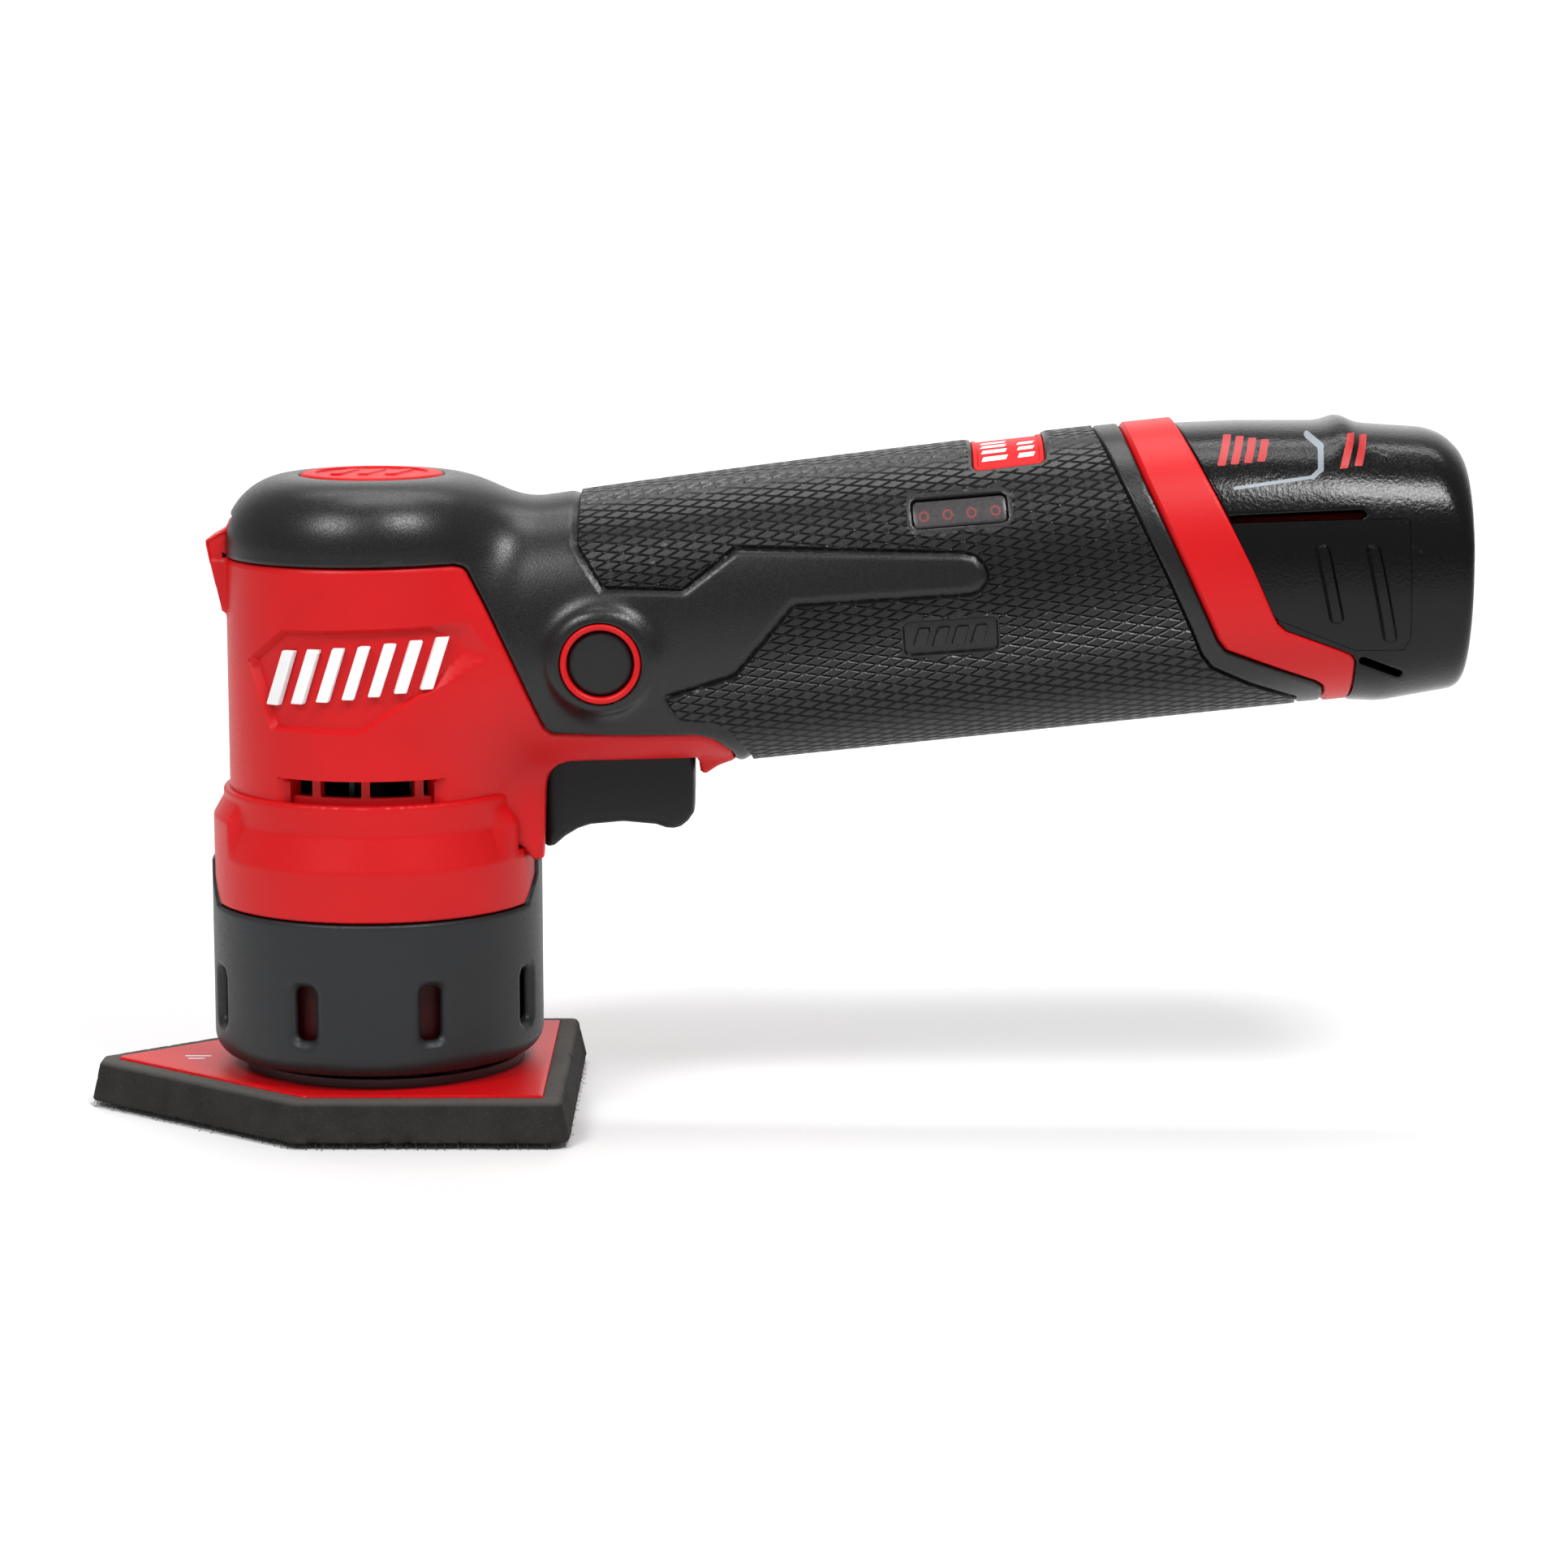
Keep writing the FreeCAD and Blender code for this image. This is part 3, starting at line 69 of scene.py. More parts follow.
def surface(field, low, high, step, rounds=4):
    """A triangle mesh of field = 0: one point in each grid cell that the surface crosses."""
    axes = [np.arange(a - step, b + 1.5 * step, step) for a, b in zip(low, high)]
    shape = tuple(len(a) for a in axes)
    value = np.empty(shape, bool)
    plane = np.stack(np.meshgrid(axes[1], axes[2], indexing="ij"), -1).reshape(-1, 2)
    for i, x in enumerate(axes[0]):
        points = np.column_stack([np.full(len(plane), x), plane])
        value[i] = (field(points) < 0).reshape(shape[1:])
    count = np.zeros([n - 1 for n in shape], int)
    for corner in np.ndindex(2, 2, 2):
        cut = tuple(slice(c, c + n - 1) for c, n in zip(corner, shape))
        count += value[cut]
    mixed = (count > 0) & (count < 8)
    index = np.full(mixed.shape, -1)
    index[mixed] = np.arange(mixed.sum())
    origin = np.array([a[0] for a in axes])
    points = (np.argwhere(mixed) + 0.5) * step + origin
    quads = []
    for axis in range(3):
        u, v = (axis + 1) % 3, (axis + 2) % 3
        before = np.take(value, range(shape[axis] - 1), axis)
        after = np.take(value, range(1, shape[axis]), axis)
        at = np.argwhere(before != after)
        at = at[(at[:, u] > 0) & (at[:, v] > 0) & (at[:, u] < shape[u] - 1) & (at[:, v] < shape[v] - 1)]
        leaving = before[tuple(at.T)]
        ring = []
        for du, dv in ((0, 0), (-1, 0), (-1, -1), (0, -1)):
            cell = at.copy()
            cell[:, u] += du
            cell[:, v] += dv
            ring.append(index[tuple(cell.T)])
        ring = np.column_stack(ring)
        ring[~leaving] = ring[~leaving][:, ::-1]
        quads.append(ring)
    quads = np.vstack(quads)
    points = settle(field, points, rounds, step)
    for _ in range(EVENING_ROUNDS):
        points = settle(field, evened(points, quads), 2, step)
    return points, triangulate(points, quads)


def evened(points, quads):
    """Moves every point halfway to the middle of its neighbours; border points stay."""
    edges = quads[:, [[0, 1], [1, 2], [2, 3], [3, 0]]].reshape(-1, 2)
    total = np.zeros_like(points)
    count = np.zeros(len(points))
    for a, b in (edges.T, edges[:, ::-1].T):
        np.add.at(total, a, points[b])
        np.add.at(count, a, 1)
    key = np.sort(edges, axis=1)
    _, first, uses = np.unique(key, axis=0, return_index=True, return_counts=True)
    free = count > 0
    free[edges[first[uses == 1]].ravel()] = False
    moved = points.copy()
    moved[free] = 0.5 * points[free] + 0.5 * total[free] / count[free, None]
    return moved


def distance_between(first, second):
    return np.linalg.norm(first - second, axis=1)


def triangulate(points, quads):
    """Cuts quads along their shorter diagonal."""
    a, b, c, d = points[quads].transpose(1, 0, 2)
    short = distance_between(a, c) <= distance_between(b, d)
    first = np.where(short[:, None], quads[:, [0, 1, 2]], quads[:, [0, 1, 3]])
    second = np.where(short[:, None], quads[:, [0, 2, 3]], quads[:, [1, 2, 3]])
    return np.vstack([first, second])


def split(points, faces, pairs, middle):
    """Puts a new point on each listed edge and cuts the triangles beside it."""
    if not len(pairs):
        return points, faces
    total = len(points)
    keys = pairs.min(1) * total + pairs.max(1)
    order = np.argsort(keys)
    keys = keys[order]
    points = np.vstack([points, middle])
    edges = faces[:, [[0, 1], [1, 2], [2, 0]]]
    edge_keys = edges.min(2) * total + edges.max(2)
    place = np.minimum(np.searchsorted(keys, edge_keys), len(keys) - 1)
    hit = keys[place] == edge_keys
    new = np.where(hit, total + order[place], -1)
    number = hit.sum(1)
    made = [faces[number == 0]]
    one = np.flatnonzero(number == 1)
    if len(one):
        turn = hit[one].argmax(1)
        a, b, c = rotated(faces[one], turn)
        m = new[one, turn]
        made += [np.column_stack([a, m, c]), np.column_stack([m, b, c])]
    two = np.flatnonzero(number == 2)
    if len(two):
        turn = ((~hit[two]).argmax(1) + 1) % 3
        a, b, c = rotated(faces[two], turn)
        m = new[two, turn]
        n = new[two, (turn + 1) % 3]
        near = distance_between(points[a], points[n]) < distance_between(points[m], points[c])
        made += [np.column_stack([m, b, n]),
                 np.column_stack([a, m, np.where(near, n, c)]),
                 np.column_stack([np.where(near, a, m), n, c])]
    three = np.flatnonzero(number == 3)
    if len(three):
        a, b, c = faces[three].T
        m, n, o = new[three].T
        made += [np.column_stack(t) for t in ((a, m, o), (m, b, n), (o, n, c), (m, n, o))]
    return points, np.vstack(made)


def rotated(faces, turn):
    """The corners of each triangle, starting from its corner number turn."""
    rows = np.arange(len(faces))
    return [faces[rows, (turn + k) % 3] for k in range(3)]


def directed_edges(faces):
    return faces[:, [[0, 1], [1, 2], [2, 0]]].reshape(-1, 2)


def edge_list(faces):
    """Each edge once, its lower point first."""
    return np.unique(np.sort(directed_edges(faces), axis=1), axis=0)


def refine(field, points, faces, size, rounds=6):
    """Halves every edge that is longer than size at its middle, on the surface."""
    for _ in range(rounds):
        edges = edge_list(faces)
        a, b = points[edges[:, 0]], points[edges[:, 1]]
        middle = (a + b) / 2
        long = distance_between(a, b) > size
        if not long.any():
            break
        points, faces = split(points, faces, edges[long], settle(field, middle[long], 2))
    return points, faces


def keep(points, faces, inside):
    """Only the triangles whose middle is inside, and the points that they use."""
    faces = faces[inside(points[faces].mean(1))]
    used, again = np.unique(faces, return_inverse=True)
    return points[used], again.reshape(-1, 3)


def tidy(points, faces, gap=0.012):
    """Merges points closer than gap and drops the triangles that collapse."""
    cell = np.round(points / gap).astype(np.int64)
    _, first, again = np.unique(cell, axis=0, return_index=True, return_inverse=True)
    faces = again.reshape(-1)[faces]
    solid = (faces[:, 0] != faces[:, 1]) & (faces[:, 1] != faces[:, 2]) & (faces[:, 0] != faces[:, 2])
    faces = faces[solid]
    _, once = np.unique(np.sort(faces, axis=1), axis=0, return_index=True)
    return points[first], faces[np.sort(once)]


def rim(points, faces, inward, depth):
    """Turns every open edge inwards by depth, which gives a skin its visible thickness."""
    directed = directed_edges(faces)
    _, first, count = np.unique(np.sort(directed, axis=1), axis=0, return_index=True, return_counts=True)
    border = directed[first[count == 1]]
    used = np.unique(border)
    if not len(used):
        return points, faces
    turned_in = np.arange(len(used)) + len(points)
    points = np.vstack([points, points[used] + inward[used] * depth])
    i, j = np.searchsorted(used, border.T)
    faces = np.vstack([faces,
                       np.column_stack([used[j], used[i], turned_in[i]]),
                       np.column_stack([used[j], turned_in[i], turned_in[j]])])
    return points, faces


# ---------------------------------------------------------------- shape tools

def smooth_min(a, b, radius):
    blend = np.clip(0.5 + 0.5 * (b - a) / radius, 0, 1)
    return b * (1 - blend) + a * blend - radius * blend * (1 - blend)


def smooth_max(a, b, radius):
    return -smooth_min(-a, -b, radius)


def outline_distance(x, z, outline):
    """Distance to a closed outline, negative inside."""
    corners = np.asarray(outline, float)
    nearest = np.full(np.shape(x), np.inf)
    inside = np.zeros(np.shape(x), bool)
    for (x0, z0), (x1, z1) in zip(corners, np.roll(corners, -1, axis=0)):
        dx, dz = x1 - x0, z1 - z0
        along = np.clip(((x - x0) * dx + (z - z0) * dz) / (dx * dx + dz * dz), 0, 1)
        nearest = np.minimum(nearest, np.hypot(x - x0 - along * dx, z - z0 - along * dz))
        if dz:
            inside ^= ((z0 > z) != (z1 > z)) & (x < x0 + (z - z0) * dx / dz)
    return np.where(inside, -nearest, nearest)


def bar_distance(along, across, half_length, half_width, corner):
    """Distance to a bar with round corners, negative inside."""
    a = np.abs(along) - half_length + corner
    b = np.abs(across) - half_width + corner
    return np.hypot(np.maximum(a, 0), np.maximum(b, 0)) + np.minimum(np.maximum(a, b), 0) - corner


def ramp(value, start, end):
    """0 up to start, 1 from end on, straight between."""
    return np.clip((value - start) / (end - start), 0, 1)


# ---------------------------------------------------------------- sizes, millimetres

TILT = math.radians(6.1)
HEAD_R, HEAD_TOP, HEAD_LOW, HEAD_FILLET = 28.4, 123.6, 58.0, 13.0
BUTTON = (44.5, 90.2)
LENS, LENS_TILT = (111.7, 118.6), math.radians(5.2)
LENS_HALF, BAR_RECESS_HALF = (8.9, 2.6), (8.9, 3.3)
BAR_RECESS, BAR_TILT = (110.1, 95.4), math.radians(4.0)
BAR_PLACES = (-5.4, -1.8, 1.8, 5.4)
BADGE_X, BADGE_HALF = 121.2, (6.75, 14.6)
CAP_R, CAP_HOLE_R, RING_R, SCREW_HOLE_R = 13.75, 13.85, 7.7, 3.1
LUG_HALF, LUG_REAR, LUG_TOP = 7.45, -24.5, 116.0
MID_GAP = 0.05
SEAM_GAP = 0.06

RED_FRONT = ((-45, 108.1), (17.5, 108.7), (19.2, 108.2), (19.9, 107.4), (23.3, 100.4), (29.2, 87.3),
             (33.7, 77.0), (35.1, 75.9), (47.3, 75.4), (62.6, 75.3), (65.7, 74.3), (69.0, 71.4),
             (74.0, 60.0), (74.0, 30.0), (-45, 30.0))
BAND_FRONT = ((139.6, 140.0), (142.8, 132.9), (146.2, 124.5), (150.5, 115.1), (155.1, 105.1),
              (160.0, 94.4), (161.6, 92.3), (169.5, 89.2), (179.2, 85.5), (180.8, 84.4),
              (181.4, 82.6), (181.8, 70.0))
BAND_BACK = ((149.5, 140.0), (152.8, 134.5), (159.7, 121.4), (166.4, 108.0), (170.2, 99.6),
             (171.2, 97.7), (172.8, 96.3), (182.9, 92.6), (185.3, 91.6), (186.2, 90.4),
             (186.6, 83.7), (186.4, 70.0))
GREY_FRONT = ((136.2, 140.0), (137.8, 132.3), (144.5, 118.3), (150.5, 106.0), (155.3, 95.6),
              (157.0, 91.6), (159.2, 88.9), (166.8, 85.3), (176.1, 81.9), (181.0, 70.0))
STRIP = ((40.0, 111.9), (44.9, 104.3), (59.9, 104.0), (69.8, 111.9), (112.0, 111.2), (114.6, 110.6),
         (116.2, 109.0), (117.0, 107.2), (116.9, 105.8), (115.6, 104.0), (113.8, 103.2),
         (80.7, 101.0), (69.6, 87.4), (56.6, 83.1), (58.2, 80.0), (59.4, 78.3), (65.7, 77.9),
         (68.6, 76.0), (72.5, 70.7), (74.0, 60.0))
PANEL = ((39.9, 142.0),) + STRIP + tuple(reversed(GREY_FRONT))
BAND = BAND_FRONT + tuple(reversed(BAND_BACK))
BEHIND = ((260, 70), (260, 140))
REAR, CASE = BAND_FRONT + BEHIND, BAND_BACK + BEHIND
LEG = ((18.0, 53.3), (28.4, 53.3), (30.8, 50.4), (33.0, 50.4), (33.3, 51.4), (33.6, 60.3), (33.9, 65.8),
       (34.4, 67.4), (35.5, 68.8), (37.0, 69.6), (38.6, 69.8), (40.0, 80.0), (18.0, 80.0))
LUG = ((-22.0, 97.0), (-28.6, 97.6), (-30.8, 106.9), (-31.7, 111.5), (-27.6, 113.8), (-22.0, 114.6))
NIB = ((61.0, 74.0), (62.6, 67.0), (63.8, 66.2), (66.2, 67.8), (69.6, 69.4), (69.6, 74.0))
# The trigger's opening: its ceiling, front and rear, and the round corner at its front top.
MOUTH_TOP, MOUTH_FRONT, MOUTH_REAR = 69.8, 33.9, 62.4
MOUTH_CORNER, MOUTH_CORNER_R = (38.6, 65.1), 4.7
# A pocket in the leg that the trigger's front edge reaches into: x, half width, z.
POCKET_X, POCKET_HALF, POCKET_Z = (32.1, 36.0), 8.75, (51.4, 75.3)
RECESS = ((-22.6, 90.2), (-15.2, 96.6), (20.0, 97.8), (24.2, 91.3), (-0.6, 77.2), (-18.0, 77.4))
HOUSING_SCREWS = ((28.4, 77.0), (28.4, 109.5), (67.5, 79.5), (74.0, 116.0), (103.0, 80.0), (100.5, 119.5))


def grip_top(x):
    """Height of the grip's top line, which bows a little."""
    past = x - 99.7
    return 128.2 + 0.1208 * past - 0.000163 * past ** 2


def grip_low(x):
    """Height of the grip's straight underside."""
    return 61.0 + 0.1062 * x


def grip_half(x):
    """Half the grip's width."""
    return 24.6 + 0.028 * (x - 100)


def tube(y, z, top, low, half, power):
    """Distance to a rounded handle section, which is a little squarer than an ellipse."""
    tall = (top - low) / 2
    up = z - (top + low) / 2
    ratio = ((np.abs(y) / half) ** power + (np.abs(up) / tall) ** power) ** (1 / power)
    return (ratio - 1) * np.hypot(y, up) / np.maximum(ratio, 1e-6)


def head_field(x, y, z):
    """The round head with its filleted top."""
    out = np.hypot(x, y) - (HEAD_R - HEAD_FILLET)
    up = z - (HEAD_TOP - HEAD_FILLET)
    corner = np.hypot(np.maximum(out, 0), np.maximum(up, 0)) + np.minimum(np.maximum(out, up), 0)
    return np.maximum(corner - HEAD_FILLET, HEAD_LOW - z)


def prism_field(x, y, z, outline, half, corner):
    """An outline seen from the side, made half thick to both sides."""
    return smooth_max(outline_distance(x, z, outline), np.abs(y) - half, corner)


def mouth_distance(points):
    """Distance to the trigger's opening, negative in it."""
    x, _, z = points.T
    corner_x, corner_z = MOUTH_CORNER
    behind = np.maximum(np.maximum(z - MOUTH_TOP, x - MOUTH_REAR), 37.0 - x)
    corner = np.maximum(round_distance(points, MOUTH_CORNER, MOUTH_CORNER_R), x - corner_x)
    below = np.maximum(np.maximum(MOUTH_FRONT - x, z - corner_z), x - MOUTH_REAR)
    return np.minimum(np.minimum(behind, np.maximum(corner, z - MOUTH_TOP)), below)


def body_field(points):
    """The housing with its overmold, without the grooves and panels."""
    x, y, z = points.T
    grip = smooth_max(tube(y, z, grip_top(x), grip_low(x), grip_half(x), 2.2), 5 - x, 5.0)
    shape = smooth_min(head_field(x, y, z), grip, 7.5)
    leg = prism_field(x, y, z, LEG, 13.0, 1.6)
    shape = smooth_min(shape, leg, 2.5)
    shape = smooth_min(shape, prism_field(x, y, z, LUG, 7.3, 1.0), 0.8)
    shape = smooth_min(shape, prism_field(x, y, z, NIB, 9.0, 2.0), 1.2)
    around = np.hypot(x - BUTTON[0], z - BUTTON[1])
    boss = smooth_max(around - 9.4, np.abs(y) - 24.7, 2.0)
    shape = smooth_min(shape, np.maximum(boss, 12 - np.abs(y)), 4.5)
    shape = smooth_max(shape, -mouth_distance(points), 0.5)
    pocket = np.maximum(np.maximum(POCKET_X[0] - x, x - POCKET_X[1]), np.abs(y) - POCKET_HALF)
    pocket = np.maximum(pocket, np.maximum(POCKET_Z[0] - z, z - POCKET_Z[1]))
    return smooth_max(shape, -pocket, 0.2)


def case_field(points):
    """The battery's outer shell."""
    x, y, z = points.T
    top = np.interp(x, (140, 165, 181, 200, 215), (132.6, 133.7, 133.7, 132.5, 131.3))
    top = top + 1.3 * np.exp(-((x - 184.6) / 2.6) ** 2) * ramp(-np.abs(y), -19.0, -15.0)
    low = grip_low(x) - 1.2 * ramp(x, 184, 192) + 1.0 * ramp(x, 194, 207)
    shape = tube(y, z, top, low, 26.0 - 0.04 * np.maximum(x - 190, 0), 2.3)
    end = x - 208.9 + 1.2 * ((y / 26) ** 2 + ((z - 107) / 27) ** 2)
    return smooth_max(shape, end, 2.4 + 6.0 * ramp(z, 112, 130))


# ---------------------------------------------------------------- pieces

def make_object(name, points, faces, material, body, nodes=(), slot=None, sharp=30.0):
    """Makes a Blender object from millimetre points and hangs it on its CAD body."""
    mesh = bpy.data.meshes.new(name)
    mesh.vertices.add(len(points))
    mesh.vertices.foreach_set("co", (points * MM).astype(np.float32).ravel())
    mesh.loops.add(len(faces) * 3)
    mesh.loops.foreach_set("vertex_index", faces.astype(np.int32).ravel())
    mesh.polygons.add(len(faces))
    mesh.polygons.foreach_set("loop_start", np.arange(len(faces), dtype=np.int32) * 3)
    mesh.update(calc_edges=True)
    mesh.validate()
    mesh.polygons.foreach_set("use_smooth", np.ones(len(mesh.polygons), bool))
    mesh.set_sharp_from_angle(angle=math.radians(sharp))
    mesh.materials.append(material)
    piece = bpy.data.objects.new(name, mesh)
    bpy.context.scene.collection.objects.link(piece)
    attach(piece, body)
    if nodes:
        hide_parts(*nodes)
    return piece


def mirrored(points, faces):
    """The same mesh on the other side."""
    return points * (1, -1, 1), faces[:, ::-1]


def joined(*meshes):
    """Several (points, faces) as one."""
    points, faces, total = [], [], 0
    for some_points, some_faces in meshes:
        points.append(some_points)
        faces.append(some_faces + total)
        total += len(some_points)
    return np.vstack(points), np.vstack(faces)


def edge_round(inside, radius):
    """How far a rounded edge has dropped at this distance in from it."""
    near = np.clip(inside / radius, 0, 1)
    return radius * (1 - np.sqrt(np.clip(1 - (1 - near) ** 2, 0, 1)))


ROUND_STEPS = np.array((0.0, 0.12, 0.45, 1.0))


def imprint(field, points, faces, guide, levels, where=None, snap=0.015, passes=9):
    """Adds edges along guide = level for every level, taking the middle one first on long edges."""
    levels = np.asarray(sorted(levels), float)
    for _ in range(passes):
        value = guide(points)
        above = np.searchsorted(levels, value + snap, side="right")
        below = np.searchsorted(levels, value - snap, side="left")
        used = faces if where is None else faces[where(points[faces].mean(1))]
        if not len(used):
            break
        a, b = edge_list(used).T
        turn = value[a] > value[b]
        a, b = np.where(turn, b, a), np.where(turn, a, b)
        first, last = above[a], below[b] - 1
        cross = (last >= first) & (value[b] > value[a])
        if not cross.any():
            break
        a, b, first, last = a[cross], b[cross], first[cross], last[cross]
        level = levels[(first + last + 1) // 2]
        share = (level - value[a]) / (value[b] - value[a])
        start, run = points[a], points[b] - points[a]
        for _ in range(2):
            middle = start + run * share[:, None]
            error = level - guide(middle)
            share = np.clip(share + error / (value[b] - value[a]), 0.01, 0.99)
        middle = settle(field, start + run * share[:, None], 2)
        points, faces = split(points, faces, np.column_stack([a, b]), middle)
    return points, faces


def panel_distance(points):
    """Distance to the relief panel on the grip, negative inside."""
    x, _, z = points.T
    return outline_distance(x, z, PANEL)


def red_distance(points):
    """Distance to the red head, neck and lug, negative inside."""
    x, y, z = points.T
    lug = np.maximum(np.maximum(np.abs(y) - LUG_HALF, x - LUG_REAR), z - LUG_TOP)
    return np.minimum(outline_distance(x, z, RED_FRONT), lug)


def band_distance(points):
    x, _, z = points.T
    return outline_distance(x, z, BAND)


def rear_distance(points):
    """Distance to everything from the end band's front edge to the battery, negative there."""
    x, _, z = points.T
    return outline_distance(x, z, REAR)


def round_distance(points, centre, radius):
    """Distance to a round place seen from the side."""
    return np.hypot(points[:, 0] - centre[0], points[:, 2] - centre[1]) - radius


def ring_distance(points):
    """Distance to the red ring round the side button."""
    return round_distance(points, BUTTON, RING_R)


def left_side(distance, points, depth=5.0):
    """Limits a feature to the left face."""
    return np.maximum(distance, points[:, 1] + depth)


def tilted(points, centre, tilt):
    """Places along and across a feature that follows the handle's slope."""
    x, z = points[:, 0] - centre[0], points[:, 2] - centre[1]
    return x * math.cos(tilt) + z * math.sin(tilt), z * math.cos(tilt) - x * math.sin(tilt)


def lens_distance(points):
    along, across = tilted(points, LENS, LENS_TILT)
    return left_side(bar_distance(along, across, *LENS_HALF, 1.1), points)


def bar_recess_distance(points):
    along, across = tilted(points, BAR_RECESS, BAR_TILT)
    return left_side(bar_distance(along, across, *BAR_RECESS_HALF, 1.2), points)


def badge_distance(points):
    x, y, z = points.T
    return np.maximum(bar_distance(x - BADGE_X, y, *BADGE_HALF, 1.4), 110 - z)


def cap_distance(points):
    return np.maximum(np.hypot(points[:, 0], points[:, 1]) - CAP_HOLE_R, 116 - points[:, 2])


def screw_distance(points):
    return np.min([round_distance(points, at, SCREW_HOLE_R) for at in HOUSING_SCREWS], axis=0)


# The diamond relief: two families of grooves. The long way of a diamond is along the grip.
FIRST_STEP, SECOND_STEP = (2.79, -0.70), (2.70, 1.25)
AREA = FIRST_STEP[0] * SECOND_STEP[1] - SECOND_STEP[0] * FIRST_STEP[1]
GROOVE_HALF, GROOVE_DEPTH = 0.28, 0.29


def relief_place(points):
    """Unrolled place on the grip: along its slope, and up around it from its middle."""
    x, y, z = points.T
    along = (x - 40) * math.cos(TILT) + (z - 94) * math.sin(TILT)
    up = z - (grip_top(x) + grip_low(x)) / 2
    return along, 26.3 * (math.pi / 2 - np.arctan2(np.abs(y), up))


def first_family(points):
    along, up = relief_place(points)
    return (SECOND_STEP[1] * along - SECOND_STEP[0] * up) / AREA


def second_family(points):
    along, up = relief_place(points)
    return (FIRST_STEP[0] * up - FIRST_STEP[1] * along) / AREA


FAMILIES = ((first_family, math.hypot(*SECOND_STEP) / AREA), (second_family, math.hypot(*FIRST_STEP) / AREA))


def family_levels(slope, low, high):
    offsets = np.array((-GROOVE_HALF, 0.0, GROOVE_HALF)) * slope
    return (np.arange(math.floor(low) - 1, math.ceil(high) + 2)[:, None] + offsets).ravel()


def relief(points):
    """0 on a diamond's top, 1 at a groove's bottom."""
    depth = np.zeros(len(points))
    for family, slope in FAMILIES:
        value = family(points)
        away = np.abs(value - np.round(value)) / slope
        depth = np.maximum(depth, 1 - ramp(away, 0.0, GROOVE_HALF))
    return depth


def relief_room(points, bars):
    """Positive where the diamonds are, with plain margins about the lens, the badge and the bars."""
    room = np.minimum(-panel_distance(points), badge_distance(points) - 0.9)
    if not bars:
        return np.minimum(room, screw_distance(points) - 0.3)
    return np.minimum(room, np.minimum(lens_distance(points) - 1.0, bar_recess_distance(points) - 0.25))


def panel_width(points):
    """Width of the slope round the panel: wide at the strip, narrow at the rear band."""
    return np.interp(points[:, 0], (122, 134), (1.35, 0.6))


# The groove round the panel: steep on the panel's side, a long rounded slope on the plain side.
PANEL_STEPS = (-0.25, 0.0, 0.7, 1.0, 1.3)
PANEL_DROP = (0.0, -0.7, -0.2, -0.05, 0.0)


def overmold_height(points, bars):
    """How far the soft layer stands above or below the plain body surface."""
    height = -edge_round(red_distance(points) - SEAM_GAP, 0.6)
    height -= edge_round(rear_distance(points) - SEAM_GAP, 0.6)
    height -= edge_round(ring_distance(points), 0.4)
    height -= edge_round(cap_distance(points), 0.5)
    height -= edge_round(badge_distance(points) - 0.05, 0.5)
    away = panel_distance(points) / panel_width(points)
    height += np.interp(away, PANEL_STEPS, PANEL_DROP)
    room = relief_room(points, bars)
    height += np.where(room > 0.04, 0.12 - GROOVE_DEPTH * relief(points), 0.0)
    if bars:
        height -= edge_round(lens_distance(points) - 0.05, 0.4)
        inside = bar_recess_distance(points)
        height -= 0.8 * ramp(-inside, 0.0, 0.3)
        height += 0.6 * ramp(-bar_marks(points), 0.0, 0.18)
    return height


def bar_marks(points):
    """Four plain raised bars in the small recess on the grip."""
    along, across = tilted(points, BAR_RECESS, BAR_TILT)
    marks = [bar_distance(along - place - across * 0.35, across, 1.25, 1.9, 0.3) for place in BAR_PLACES]
    return left_side(np.min(marks, axis=0), points)


def half_body(step):
    """The left half of the plain body surface."""
    mesh = surface(body_field, (-33, -33, 46), (192, 1.5, 138), step)
    return halved(body_field, *mesh)


def halved(field, points, faces):
    """Cuts a mesh at the parting line and keeps its left half."""
    points, faces = imprint(field, points, faces, lambda p: p[:, 1], (-MID_GAP,))
    return keep(points, faces, lambda p: p[:, 1] < -MID_GAP)


CUT_SNAP = 0.02


def trimmed(field, points, faces, guide, level, outside=True, steps=()):
    """Cuts along guide = level, keeps one side and adds edges at steps in from the cut."""
    sign = 1 if outside else -1
    levels = [level] + [level + sign * step for step in steps]
    points, faces = imprint(field, points, faces, guide, levels, snap=CUT_SNAP)
    return keep(points, faces, lambda p: sign * (guide(p) - level) > 0)


def level_height(value):
    """The same height everywhere, for finished()."""
    return lambda points: np.full(len(points), value)


def finished(field, points, faces, height, depth):
    """Raises the surface by height and gives its open edges some thickness.

    The edges turn inwards square to the surface, but straight across the tool beside a
    latch, so that the latch can swing in.
    """
    points, faces = tidy(points, faces)
    outward = normals_of(field, points)
    across = np.zeros_like(points)
    across[:, 1] = -np.sign(points[:, 1])
    inward = np.where(np.abs(latch_distance(points))[:, None] < 0.5, across, -outward)
    points = points + outward * height(points)[:, None]
    return rim(points, faces, inward, depth)


